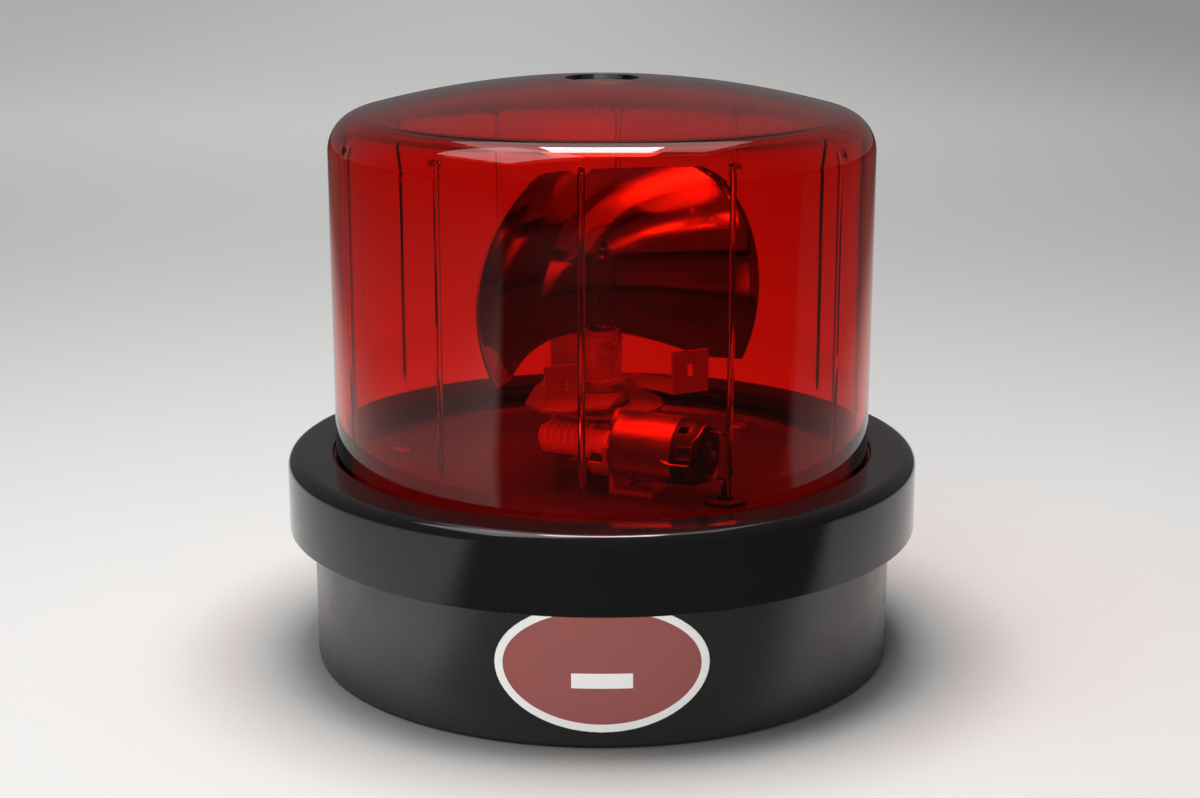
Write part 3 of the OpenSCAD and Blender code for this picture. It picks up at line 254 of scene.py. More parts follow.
def handled_group():
    """Handling marks: cloudy patches that change the gloss a little, and settled dust on upward faces."""
    tree, given, out = new_group("handled", "ShaderNodeTree", {
        "Vector": (VECTOR, None), "Colour": (COLOUR, (0.5, 0.5, 0.5, 1)), "Gloss": (FLOAT, 0.3),
        "Change": (FLOAT, 0.1), "Patch": (FLOAT, 40.0), "Dust": (FLOAT, 0.1),
    }, {"Colour": COLOUR, "Roughness": FLOAT})
    cloud = noise(tree, given["Vector"], given["Patch"], 4.0)
    rough = plus(tree, given["Gloss"], times(tree, spread(tree, cloud, 0.0, 1.0), given["Change"]))
    normal = put(tree, "ShaderNodeNewGeometry").outputs["Normal"]
    up = put(tree, "ShaderNodeSeparateXYZ", Vector=normal).outputs["Z"]
    lying = calc(tree, "MAXIMUM", up, 0.0)
    specks = spread(tree, noise(tree, given["Vector"], 900.0, 2.0), 0.0, 1.0)
    drift = spread(tree, noise(tree, given["Vector"], 25.0, 4.0), 0.3, 1.0)
    dust = times(tree, times(tree, lying, given["Dust"]), times(tree, plus(tree, specks, 0.25), drift))
    share = calc(tree, "MINIMUM", dust, 1.0)
    tree.links.new(mix_colour(tree, share, given["Colour"], dust_colour), out["Colour"])
    dulled = plus(tree, rough, times(tree, share, 0.5))
    tree.links.new(calc(tree, "MINIMUM", dulled, 1.0), out["Roughness"])
    return tree


def grain_group():
    """Fine lines: noise stretched along one axis by the Stretch vector, as height."""
    tree, given, out = new_group("grain", "ShaderNodeTree", {
        "Vector": (VECTOR, None), "Stretch": (VECTOR, (1.0, 1.0, 1.0)), "Scale": (FLOAT, 900.0),
    }, {"Height": FLOAT})
    drawn = put(tree, "ShaderNodeVectorMath", {"operation": "MULTIPLY"})
    tree.links.new(given["Vector"], drawn.inputs[0])
    tree.links.new(given["Stretch"], drawn.inputs[1])
    tree.links.new(noise(tree, drawn.outputs[0], given["Scale"], 2.0), out["Height"])
    return tree


def scratch_group():
    """Sparse hair scratches, as a mask, from three stretched noises that cross."""
    tree, given, out = new_group("scratches", "ShaderNodeTree", {
        "Vector": (VECTOR, None), "Amount": (FLOAT, 0.5),
    }, {"Mask": FLOAT})
    total = None
    thin, line_from, line_to = 0.03, 0.70, 0.76
    for turn, seed in ((0.4, 0.0), (-0.9, 5.0), (1.9, 9.0)):
        turned = put(tree, "ShaderNodeMapping", Vector=given["Vector"])
        turned.inputs["Location"].default_value = (seed, seed, seed)
        turned.inputs["Rotation"].default_value = (turn, turn * 0.6, turn)
        turned.inputs["Scale"].default_value = (1.0, thin, 1.0)
        line = put(tree, "ShaderNodeMapRange", Value=noise(tree, turned.outputs[0], 420.0, 1.0, 0.4))
        line.inputs["From Min"].default_value = line_from
        line.inputs["From Max"].default_value = line_to
        total = line.outputs[0] if total is None else calc(tree, "MAXIMUM", total, line.outputs[0])
    tree.links.new(times(tree, total, given["Amount"]), out["Mask"])
    return tree


handled = handled_group()
grain = grain_group()
scratches = scratch_group()


# Materials

def blank_material(name):
    material = bpy.data.materials.new(name)
    material.use_nodes = True
    tree = material.node_tree
    shader = tree.nodes["Principled BSDF"]
    where = tree.nodes.new("ShaderNodeTexCoord").outputs["Object"]
    return material, tree, shader, where


def worn(tree, shader, where, **looks):
    """Gives a shader its colour and gloss, with handling marks and dust."""
    made = use_group(tree, handled, Vector=where, **looks)
    tree.links.new(made["Colour"], shader.inputs["Base Color"])
    tree.links.new(made["Roughness"], shader.inputs["Roughness"])
    return made


def set_bump(tree, shader, height, strength, distance):
    bump = put(tree, "ShaderNodeBump", Strength=strength, Distance=distance, Height=height)
    tree.links.new(bump.outputs[0], shader.inputs["Normal"])


def metal(name, colour, gloss, change=0.08, stretch=(1, 1, 1), depth=0.05, bare=1.0):
    """Metal with fine machining lines and handling marks; bare is 1 for a clean surface, and less of it
    stands for a dull film that takes light from every side."""
    material, tree, shader, where = blank_material(name)
    shader.inputs["Metallic"].default_value = bare
    worn(tree, shader, where, Colour=colour, Gloss=gloss, Change=change, Patch=90.0, Dust=0.04)
    lines = use_group(tree, grain, Vector=where, Stretch=stretch, Scale=900.0)
    set_bump(tree, shader, lines["Height"], depth, 0.1 * MM)
    return material


def moulding(name, colour, gloss, change=0.06, orange_peel=0.03, dust=0.05, shine=0.5):
    """Moulded plastic, rubber or paint with a faint surface texture."""
    material, tree, shader, where = blank_material(name)
    worn(tree, shader, where, Colour=colour, Gloss=gloss, Change=change, Patch=60.0, Dust=dust)
    set_bump(tree, shader, noise(tree, where, 700.0, 2.0), orange_peel, 0.1 * MM)
    shader.inputs["Specular IOR Level"].default_value = shine
    return material


def red_dome_material():
    """Clear red moulding. Rays from lamps pass through it tinted, so that they light what it covers."""
    material, tree, shader, where = blank_material("clear_red")
    shader.inputs["Base Color"].default_value = rgba(0.88, 0.062, 0.026)
    shader.inputs["Transmission Weight"].default_value = 1.0
    shader.inputs["IOR"].default_value = 1.49
    hair = use_group(tree, scratches, Vector=where, Amount=0.25)["Mask"]
    cloud = spread(tree, noise(tree, where, 30.0, 4.0), 0.0, 0.02)
    rough = plus(tree, times(tree, hair, 0.2), plus(tree, cloud, 0.015))
    tree.links.new(rough, shader.inputs["Roughness"])
    set_bump(tree, shader, noise(tree, where, 14.0, 2.0), 0.08, 1 * MM)
    return let_lamps_through(material, tree, shader, rgba(0.92, 0.26, 0.16))


def let_lamps_through(material, tree, shader, tint):
    clear = put(tree, "ShaderNodeBsdfTransparent", Color=tint)
    path = tree.nodes.new("ShaderNodeLightPath")
    mixed = tree.nodes.new("ShaderNodeMixShader")
    tree.links.new(path.outputs["Is Shadow Ray"], mixed.inputs[0])
    tree.links.new(shader.outputs[0], mixed.inputs[1])
    tree.links.new(clear.outputs[0], mixed.inputs[2])
    tree.links.new(mixed.outputs[0], tree.nodes["Material Output"].inputs["Surface"])
    return material


def bulb_glass_material():
    material, tree, shader, where = blank_material("bulb_glass")
    shader.inputs["Base Color"].default_value = rgba(0.97, 0.98, 0.98)
    shader.inputs["Transmission Weight"].default_value = 1.0
    shader.inputs["IOR"].default_value = 1.46
    smoke = spread(tree, noise(tree, where, 120.0, 3.0), 0.0, 0.05)
    tree.links.new(smoke, shader.inputs["Roughness"])
    return let_lamps_through(material, tree, shader, rgba(0.96, 0.97, 0.97))


def mirror_material():
    """Polished reflector: bright, with a slight haze, hair scratches and a little dust."""
    material, tree, shader, where = blank_material("reflector_mirror")
    shader.inputs["Metallic"].default_value = 1.0
    hair = use_group(tree, scratches, Vector=where, Amount=0.5)["Mask"]
    looks = worn(tree, shader, where, Colour=rgba(0.9, 0.9, 0.91), Gloss=0.05, Change=0.05, Patch=45.0,
                 Dust=0.05)
    scratched = plus(tree, looks["Roughness"], times(tree, hair, 0.15))
    tree.links.new(scratched, shader.inputs["Roughness"])
    set_bump(tree, shader, noise(tree, where, 35.0, 1.0), 0.12, 0.5 * MM)
    return material


def label_material():
    """Maroon foil with a white border and a blank white box; the box and the oval are set by position."""
    material, tree, shader, where = blank_material("label_foil")
    low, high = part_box("rating_label")
    half_w, half_h = (high.x - low.x) / 2, (high.z - low.z) / 2
    middle_z = (high.z + low.z) / 2
    x, y, z = put(tree, "ShaderNodeSeparateXYZ", Vector=where).outputs
    up = minus(tree, z, middle_z)

    def oval(inset):
        across = over(tree, x, half_w - inset)
        along = over(tree, up, half_h - inset)
        return plus(tree, times(tree, across, across), times(tree, along, along))

    border, box_half_w, box_half_h, box_up = 2.4 * MM, 9 * MM, 2.3 * MM, -4.1 * MM
    field = calc(tree, "LESS_THAN", oval(border), 1.0)
    box = times(tree, close_to(tree, x, 0.0, box_half_w), close_to(tree, up, box_up, box_half_h))
    maroon = times(tree, field, minus(tree, 1.0, box))
    printed = mix_colour(tree, maroon, rgba(0.88, 0.87, 0.85), rgba(0.33, 0.095, 0.088))
    worn(tree, shader, where, Colour=printed, Gloss=0.3, Change=0.12, Patch=120.0, Dust=0.0)
    set_bump(tree, shader, noise(tree, where, 500.0, 2.0), 0.05, 0.1 * MM)
    return material


finishes = {
    "black_can": moulding("satin_black", rgba(0.022, 0.022, 0.021), 0.26, 0.08, 0.08, 0.03, shine=0.8),
    "black_chassis": moulding("chassis_black", rgba(0.050, 0.048, 0.046), 0.16, 0.08, 0.05, 0.03),
    "black_ring": moulding("ring_black", rgba(0.008, 0.008, 0.008), 0.09, 0.05, 0.02, 0.01, shine=0.5),
    "red_dome": red_dome_material(),
    "label": label_material(),
    "black_rubber": moulding("rubber_black", rgba(0.02, 0.02, 0.02), 0.6, 0.1, 0.1, 0.1),
    "zinc_steel": metal("bright_zinc", rgba(0.62, 0.61, 0.58), 0.3),
    "post_steel": metal("turned_steel", rgba(0.6, 0.59, 0.57), 0.22, stretch=(0.05, 0.05, 1)),
    "plain_sheet": metal("plated_sheet", rgba(0.74, 0.71, 0.66), 0.16, 0.10, depth=0.02, bare=0.6),
    "nickel": metal("nickel", rgba(0.76, 0.71, 0.62), 0.20, bare=0.6),
    "brass": metal("turned_brass", rgba(0.72, 0.5, 0.22), 0.25, stretch=(0.05, 0.05, 1)),
    "bronze": metal("sintered_bronze", rgba(0.5, 0.3, 0.13), 0.42),
    "insulator": moulding("brown_moulding", rgba(0.08, 0.035, 0.018), 0.4),
    "spring_steel": metal("drawn_wire", rgba(0.62, 0.6, 0.56), 0.25),
    "lamp_glass": bulb_glass_material(),
    "tungsten": metal("tungsten", rgba(0.33, 0.32, 0.31), 0.4),
    "motor_steel": metal("motor_steel", rgba(0.72, 0.70, 0.66), 0.28, 0.1),
    "ferrite": moulding("ferrite", rgba(0.04, 0.04, 0.042), 0.6),
    "black_moulding": moulding("bell_black", rgba(0.015, 0.015, 0.015), 0.35),
    "carbon": moulding("carbon", rgba(0.02, 0.02, 0.02), 0.5),
    "wire_cover": moulding("wire_black", rgba(0.015, 0.015, 0.015), 0.4),
    "red_wire_cover": moulding("wire_red", rgba(0.35, 0.02, 0.015), 0.4),
    "nylon": moulding("natural_nylon", rgba(0.62, 0.57, 0.44), 0.4),
    "bright_aluminium": mirror_material(),
    "worm_brass": metal("worm_brass", rgba(0.96, 0.88, 0.68), 0.34, bare=0.05),
    "core_steel": metal("stacked_steel", rgba(0.3, 0.3, 0.3), 0.4),
    "copper": metal("copper_wire", rgba(0.62, 0.26, 0.11), 0.3),
}


# Meshes

def finish_piece(name, mesh, node, smooth=30.0):
    """Turns a mesh into a piece that stands for a CAD node, on its body and in its finish."""
    piece = bpy.data.objects.new(name, mesh)
    bpy.context.scene.collection.objects.link(piece)
    mesh.shade_smooth()
    mesh.set_sharp_from_angle(angle=math.radians(smooth))
    mesh.materials.clear()
    mesh.materials.append(finishes[slot_of[node]])
    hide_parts(node)
    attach(piece, nodes[node]["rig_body"])
    return piece


def mesh_of(name, points, faces, merge=0.0005 * MM):
    """A mesh with points closer than merge made one, and its faces turned outwards."""
    mesh = bpy.data.meshes.new(name)
    mesh.from_pydata([tuple(p) for p in points], [], faces)
    work = bmesh.new()
    work.from_mesh(mesh)
    bmesh.ops.remove_doubles(work, verts=work.verts, dist=merge)
    bmesh.ops.delete(work, geom=[e for e in work.edges if not e.link_faces], context="EDGES")
    bmesh.ops.recalc_face_normals(work, faces=work.faces)
    work.to_mesh(mesh)
    work.free()
    return mesh


def arc(cx, cz, r, from_a, to_a, steps):
    """Points round (cx, cz) between two angles in degrees."""
    return [(cx + r * math.cos(math.radians(a)), cz + r * math.sin(math.radians(a)))
            for a in np.linspace(from_a, to_a, steps + 1)]


def row_quads(rows, sides):
    """Quads between rows of points that each go once round."""
    quads = []
    for row in range(0, (rows - 1) * sides, sides):
        for j in range(sides):
            after = (j + 1) % sides
            quads.append((row + j, row + after, row + sides + after, row + sides + j))
    return quads


def turned(profile, sides):
    """Points and quads of a profile (r, z) turned round Z; row i of the points is profile point i."""
    angles = [2 * math.pi * j / sides for j in range(sides)]
    points = [(r * math.cos(a), r * math.sin(a), z) for r, z in profile for a in angles]
    return points, row_quads(len(profile), sides)


# Dome: an outer skin and a finer inner skin whose beads a geometry tree raises

inner_skin_gap = 2.5 * MM
crown_z = dome_top_z - crown_r
shoulder_z = crown_z + math.sqrt((crown_r - shoulder_r) ** 2 - (dome_r - shoulder_r) ** 2)
crown_end = math.degrees(math.atan2(shoulder_z - crown_z, dome_r - shoulder_r))


def dome_run(inset, start_a, crown_steps):
    """Half the dome's outline from near the top down to the straight wall."""
    return (arc(0, crown_z, crown_r - inset, start_a, crown_end, crown_steps)
            + arc(dome_r - shoulder_r, shoulder_z, shoulder_r - inset, crown_end, 0, 16)[1:])


def dome_outside():
    """Outline of the outer skin, from the middle of the sunk disc to the underside of the flange."""
    fillet = 0.35 * MM
    sink_z = dome_top_z - sink_depth
    lip_z = crown_z + math.sqrt(crown_r ** 2 - sink_r ** 2)
    outline = [(0, sink_z), (sink_r - 2 * fillet, sink_z)]
    outline += arc(sink_r - fillet, sink_z + fillet, fillet, -90, 0, 4)
    outline += arc(sink_r + fillet, lip_z - fillet, fillet, 180, 92, 4)
    outline += dome_run(0, math.degrees(math.acos((sink_r + 4 * fillet) / crown_r)), 14)
    outline += [(dome_r, shoulder_z - 30 * MM), (dome_r, flange_top_z + 20 * MM)]
    outline += arc(dome_r + fillet, flange_top_z + fillet, fillet, 180, 270, 4)
    outline += arc(can_r - fillet, flange_top_z - fillet, fillet, 90, 0, 3)
    return outline + arc(can_r - fillet, dome_low_z + fillet, fillet, 0, -90, 3)


def dome_inside():
    """Outline of the inner skin, with close rows where the beads come to a point."""
    bead_low = dome_low_z + bead_start
    wall = [shoulder_z - 15 * MM, shoulder_z - 40 * MM]
    wall += list(np.linspace(bead_low + bead_point, bead_low, 7)) + [flange_top_z, dome_low_z]
    top = [(0, crown_z + crown_r - dome_wall)]
    return top + dome_run(dome_wall, 89.5, 16) + [(dome_in_r, z) for z in wall]


def dome_mesh():
    """Both skins, the inner one in finer steps for the beads, joined under the flange."""
    outer, inner = dome_outside(), dome_inside()
    sides, ratio = 360, 4
    points, faces = turned(outer, sides)
    more, fine = turned(inner, sides * ratio)
    first = len(points)
    points += more
    faces += [tuple(first + k for k in f) for f in fine]
    out_row = (len(outer) - 1) * sides
    in_row = first + (len(inner) - 1) * sides * ratio
    for j in range(sides):
        near = [in_row + (j * ratio + k) % (sides * ratio) for k in range(ratio, -1, -1)]
        faces.append((out_row + j, out_row + (j + 1) % sides, *near))
    return mesh_of("dome_skin", points, faces)


def round_place(tree):
    """Each point's x, y and z, and its distance from Z."""
    place = put(tree, "GeometryNodeInputPosition").outputs[0]
    x, y, z = put(tree, "ShaderNodeSeparateXYZ", Vector=place).outputs
    return x, y, z, calc(tree, "SQRT", plus(tree, times(tree, x, x), times(tree, y, y)))


def pushed_out(tree, geometry, x, y, reach, height):
    """Moves each point away from Z by a height."""
    share = over(tree, height, reach)
    step = put(tree, "ShaderNodeCombineXYZ", X=times(tree, x, share), Y=times(tree, y, share)).outputs[0]
    return put(tree, "GeometryNodeSetPosition", Geometry=geometry, Offset=step).outputs[0]


def bead_tree():
    """Raises upright half-round beads inside a wall of revolution, pointed at their lower ends."""
    tree, given, out = new_group("upright_beads", "GeometryNodeTree", {
        "Geometry": ("NodeSocketGeometry", None), "Bead Count": (FLOAT, 12.0), "First Turn": (FLOAT, 0.0),
        "Bead Radius": (FLOAT, 0.001), "Wall Radius": (FLOAT, 0.08), "Low End": (FLOAT, 0.07),
        "High End": (FLOAT, 0.16), "Point Length": (FLOAT, 0.006), "Material": ("NodeSocketMaterial", None),
    }, {"Geometry": "NodeSocketGeometry"})
    x, y, z, reach = round_place(tree)
    pitch = over(tree, 2 * math.pi, given["Bead Count"])
    turn = minus(tree, calc(tree, "ARCTAN2", y, x), given["First Turn"])
    half = times(tree, pitch, 0.5)
    offset = minus(tree, calc(tree, "FLOORED_MODULO", plus(tree, turn, half), pitch), half)
    aside = times(tree, offset, given["Wall Radius"])
    narrowing = over(tree, minus(tree, z, given["Low End"]), given["Point Length"])
    size = times(tree, given["Bead Radius"], clipped(tree, narrowing))
    square = minus(tree, times(tree, size, size), times(tree, aside, aside))
    height = calc(tree, "SQRT", calc(tree, "MAXIMUM", square, 0.0))
    inside = close_to(tree, reach, given["Wall Radius"], inner_skin_gap)
    below = calc(tree, "LESS_THAN", z, given["High End"])
    height = times(tree, height, times(tree, inside, below))
    moved = pushed_out(tree, given["Geometry"], x, y, reach, times(tree, height, -1.0))
    end_tree(tree, moved, given["Material"], out)
    return tree


def end_tree(tree, geometry, material, out):
    """Every tree ends alike: real geometry that carries its own material."""
    real = put(tree, "GeometryNodeRealizeInstances", Geometry=geometry)
    painted = put(tree, "GeometryNodeSetMaterial", Geometry=real.outputs[0], Material=material)
    tree.links.new(painted.outputs[0], out["Geometry"])


def grown(name, tree, base, **inputs):
    """The plain mesh that a geometry tree makes from a base mesh."""
    carrier = bpy.data.objects.new(name + "_base", base)
    bpy.context.scene.collection.objects.link(carrier)
    growth = carrier.modifiers.new("growth", "NODES")
    growth.node_group = tree
    for item in tree.interface.items_tree:
        key = item.name.replace(" ", "_")
        if item.in_out == "INPUT" and key in inputs:
            growth[item.identifier] = inputs[key]
    carrier.update_tag()
    shape = carrier.evaluated_get(bpy.context.evaluated_depsgraph_get())
    mesh = bpy.data.meshes.new_from_object(shape)
    mesh.name = name
    bpy.data.objects.remove(carrier)
    return mesh


beads = bead_tree()
dome_skin = grown("dome_skin", beads, dome_mesh(), Bead_Count=float(bead_count), First_Turn=bead_turn,
                  Bead_Radius=bead_w / 2, Wall_Radius=dome_in_r, Low_End=dome_low_z + bead_start,
                  High_End=shoulder_z + bead_over, Point_Length=bead_point, Material=finishes["red_dome"])
finish_piece("dome_skin", dome_skin, "dome", smooth=40.0)


# Clamp ring, with rounded edges all round

def ring_mesh():
    edge = 0.5 * MM
    land_r = can_r + 0.6 * MM
    inner_r = ring_r - ring_wall
    profile = arc(ring_r - ring_edge_r, ring_top_z - ring_edge_r, ring_edge_r, 90, 0, 20)
    profile += arc(ring_r - edge, ring_low_z + edge, edge, 0, -90, 6)
    profile += arc(inner_r + edge / 2, ring_low_z + edge / 2, edge / 2, -90, -180, 4)
    profile += [(inner_r, rim_top_z + 0.1 * MM), (land_r, rim_top_z + 0.1 * MM), (land_r, flange_top_z),
                (ring_hole_r, flange_top_z)]
    profile += arc(ring_hole_r + 2 * edge, ring_top_z - 2 * edge, 2 * edge, 180, 90, 8)
    profile.append(profile[0])
    return mesh_of("ring_skin", *turned(profile, 360))


finish_piece("ring_skin", ring_mesh(), "clamp_ring", smooth=40.0)


# Reflector bowl, cut flat above and below, with an arched relief in its bottom edge

def bowl_reach(a):
    """Distance from the middle to the outline at an angle a in the plane across the beam."""
    c, s = math.cos(a), math.sin(a)
    reach = rim_r
    if s > 0:
        reach = min(reach, bowl_up / s)
    if s < 0:
        arch_v = -bowl_down + arch_h - arch_r
        b = s * arch_v
        inside = b * b - (arch_v * arch_v - arch_r * arch_r)
        hit = b - math.sqrt(inside) if inside > 0 else reach
        on_arch = hit > 0 and abs(hit * c) < math.sqrt(arch_r ** 2 - (arch_r - arch_h) ** 2)
        reach = min(reach, hit if on_arch else bowl_down / -s)
    return reach


def bowl_corners():
    """Angles where the outline turns a corner."""
    up_c = math.asin(bowl_up / rim_r)
    down_c = math.asin(-bowl_down / rim_r)
    foot = math.atan2(-bowl_down, math.sqrt(arch_r ** 2 - (arch_r - arch_h) ** 2))
    right = [up_c, down_c, foot]
    return right + [math.pi - a for a in right]


def bowl_mesh():
    sides, rings, edge = 288, 40, 0.12 * MM
    angles = [2 * math.pi * j / sides for j in range(sides)]
    for corner in bowl_corners():
        corner %= 2 * math.pi
        near = min(range(sides), key=lambda j: abs(angles[j] - corner))
        angles[near] = corner
    shares = [(i + 0.5) / (rings + 0.5) for i in range(rings + 1)]
    turn = Matrix.Rotation(beam_turn, 4, "Z")
    rim_w = rim_r ** 2 / (4 * focal) - focal - bowl_t

    def row(share, back, pull):
        made = []
        for a in angles:
            r = bowl_reach(a) * share - pull
            w = min(r * r / (4 * focal) - focal - back, rim_w)
            made.append(turn @ Vector((r * math.cos(a), -w, filament_z + r * math.sin(a))))
        return made

    rows = [row(s, 0, 0 if s < 1 else edge) for s in shares]
    rows += [row(1, edge, 0), row(1, bowl_t - edge, 0)]
    rows += [row(s, bowl_t, 0 if s < 1 else edge) for s in reversed(shares)]
    points = [p for line in rows for p in line]
    last = (len(rows) - 1) * sides
    faces = row_quads(len(rows), sides) + [tuple(range(sides)), tuple(last + j for j in range(sides))]
    return mesh_of("reflector_skin", points, faces)


finish_piece("reflector_skin", bowl_mesh(), "reflector", smooth=40.0)


# The motor's frame: Z along the motor's axis from the mesh point, X downwards

def motor_frame(s=0.0):
    return (Matrix.Rotation(motor_turn, 4, "Z") @ Matrix.Translation((s, -gear_cd, motor_z))
            @ Matrix.Rotation(math.radians(90), 4, "Y"))


# Worm: a geometry tree raises the thread on a turned blank

def thread_tree():
    """Raises one right-hand thread with straight flanks on a fine cylinder round Z."""
    tree, given, out = new_group("worm_thread", "GeometryNodeTree", {
        "Geometry": ("NodeSocketGeometry", None), "Lead": (FLOAT, 0.0024), "Root Radius": (FLOAT, 0.0038),
        "Thread Height": (FLOAT, 0.0017), "Half Tip": (FLOAT, 0.0003), "Half Root": (FLOAT, 0.0009),
        "First": (FLOAT, -0.01), "Last": (FLOAT, 0.007), "Fade": (FLOAT, 0.0005),
        "Material": ("NodeSocketMaterial", None),
    }, {"Geometry": "NodeSocketGeometry"})
    x, y, z, reach = round_place(tree)
    turns = over(tree, plus(tree, calc(tree, "ARCTAN2", y, x), math.pi / 2), 2 * math.pi)
    behind = minus(tree, z, times(tree, turns, given["Lead"]))
    half_lead = times(tree, given["Lead"], 0.5)
    wrapped = calc(tree, "FLOORED_MODULO", plus(tree, behind, half_lead), given["Lead"])
    off = calc(tree, "ABSOLUTE", minus(tree, wrapped, half_lead))
    share = put(tree, "ShaderNodeMapRange", Value=off)
    tree.links.new(given["Half Root"], share.inputs["From Min"])
    tree.links.new(given["Half Tip"], share.inputs["From Max"])
    start = over(tree, minus(tree, z, given["First"]), given["Fade"])
    end = over(tree, minus(tree, given["Last"], z), given["Fade"])
    full = clipped(tree, calc(tree, "MINIMUM", start, end))
    on_root = close_to(tree, reach, given["Root Radius"], 0.01 * MM)
    height = times(tree, times(tree, share.outputs[0], given["Thread Height"]), times(tree, full, on_root))
    moved = pushed_out(tree, given["Geometry"], x, y, reach, height)
    end_tree(tree, moved, given["Material"], out)
    return tree


def worm_piece():
    lead = math.pi * gear_module
    root_r = worm_pitch_r - 1.25 * gear_module
    half_space = (lead / 2 - backlash) / 2
    collar_s = worm_front + worm_collar_l
    ease = 0.3 * MM
    profile = [(shaft_r, -worm_back), (root_r - ease, -worm_back)]
    profile += [(root_r, s) for s in np.linspace(-worm_back + ease, worm_front - 0.02 * MM, 300)]
    profile += [(root_r, worm_front), (worm_collar_r - ease, worm_front)]
    profile += [(worm_collar_r, worm_front + ease), (worm_collar_r, collar_s - ease)]
    profile += [(worm_collar_r - ease, collar_s), (shaft_r, collar_s), (shaft_r, -worm_back)]
    made = grown("worm_skin", thread_tree(), mesh_of("worm_blank", *turned(profile, 120)), Lead=lead,
                 Root_Radius=root_r, Thread_Height=2.25 * gear_module,
                 Half_Tip=half_space - gear_module * math.tan(flank),
                 Half_Root=half_space + 1.25 * gear_module * math.tan(flank),
                 First=-worm_back + thread_runout, Last=worm_front - thread_runout, Fade=0.5 * MM,
                 Material=finishes[slot_of["worm"]])
    made.transform(motor_frame())
    return finish_piece("worm_skin", made, "worm", smooth=35.0)


worm_piece()


# Lamp: a blown glass with a drawn tip, and a coiled filament on two legs

def glass_piece():
    neck_r = cap_r - 2 * cap_wall
    foot_r, tip_r, tip_h = 2 * MM, 1.1 * MM, 1.2 * MM
    foot_z = cap_top_z + 0.4 * MM + foot_r
    tip_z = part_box("lamp_glass")[1].z
    top_z = tip_z - tip_h
    round_z = top_z - glass_r
    profile = [(neck_r, glass_foot_z), (neck_r, cap_top_z + 0.4 * MM)]
    profile += arc(glass_r - foot_r, foot_z, foot_r, -60, 0, 12)
    profile += arc(0, round_z, glass_r, 0, 75, 24)
    drawn_tip = ((1, 0), (0.9, 0.2), (0.75, 0.6), (0.4, 0.92), (0, 1))
    profile += [(tip_r * r, top_z + tip_h * z) for r, z in drawn_tip]
    inner = arc(0, round_z, glass_r - glass_wall, 90, 0, 24)
    inner += arc(glass_r - foot_r, foot_z, foot_r - glass_wall, 0, -60, 12)
    inner += [(neck_r - glass_wall, glass_foot_z), (neck_r, glass_foot_z)]
    mesh = mesh_of("lamp_glass_skin", *turned(profile + inner, 96))
    return finish_piece("lamp_glass_skin", mesh, "lamp_glass", smooth=50.0)


glass_piece()


def wire_tree():
    """Sweeps a round section along the edges of a mesh and closes its ends."""
    tree, given, out = new_group("round_wire", "GeometryNodeTree", {
        "Geometry": ("NodeSocketGeometry", None), "Radius": (FLOAT, 0.001), "Sides": ("NodeSocketInt", 16),
        "Material": ("NodeSocketMaterial", None),
    }, {"Geometry": "NodeSocketGeometry"})
    line = put(tree, "GeometryNodeMeshToCurve", Mesh=given["Geometry"])
    section = put(tree, "GeometryNodeCurvePrimitiveCircle", Radius=given["Radius"],
                  Resolution=given["Sides"])
    tube = put(tree, "GeometryNodeCurveToMesh", Curve=line.outputs[0])
    tree.links.new(section.outputs[0], tube.inputs["Profile Curve"])
    tube.inputs["Fill Caps"].default_value = True
    end_tree(tree, tube.outputs[0], given["Material"], out)
    return tree


round_wire = wire_tree()


def polyline(name, lines):
    """A mesh of open runs of edges."""
    points, edges = [], []
    for line in lines:
        edges += [(len(points) + i, len(points) + i + 1) for i in range(len(line) - 1)]
        points += [tuple(p) for p in line]
    mesh = bpy.data.meshes.new(name)
    mesh.from_pydata(points, edges, [])
    return mesh


def softened(route, rounds=4):
    """A route with its corners cut again and again, its ends kept."""
    line = [Vector(p) for p in route]
    for _ in range(rounds):
        cut = [line[0]]
        for a, b in zip(line, line[1:]):
            cut += [a.lerp(b, 0.25), a.lerp(b, 0.75)]
        line = cut + [line[-1]]
    return line


def helix(r, half, turns, steps):
    """A coil round X through the origin, from -half to half."""
    return [Vector((half * (2 * i / steps - 1), r * math.cos(2 * math.pi * turns * i / steps),
                    r * math.sin(2 * math.pi * turns * i / steps))) for i in range(steps + 1)]


def wire_piece(node, lines, r, place, sides=14):
    made = grown(node + "_skin", round_wire, polyline(node + "_line", lines), Radius=r, Sides=sides,
                 Material=finishes[slot_of[node]])
    made.transform(place)
    return finish_piece(node + "_skin", made, node, smooth=50.0)


def bonding_wire():
    """Bare wire along the side of the can, bent in at the end bell's shoulder."""
    r, kink = 0.45 * MM, 0.9 * MM
    y = -motor_r - r - 0.05 * MM
    route = [(-kink, y, motor_end_s - 2.5 * MM), (0, y, motor_end_s - 0.5 * MM),
             (0, y, bell_end_s - bell_taper_l), (0, y + bell_taper / 2, bell_end_s - bell_taper_l / 2)]
    turn = Matrix.Rotation(math.radians(7), 4, "Z")
    return wire_piece("bonding_wire", [softened(route)], r, motor_frame() @ turn)


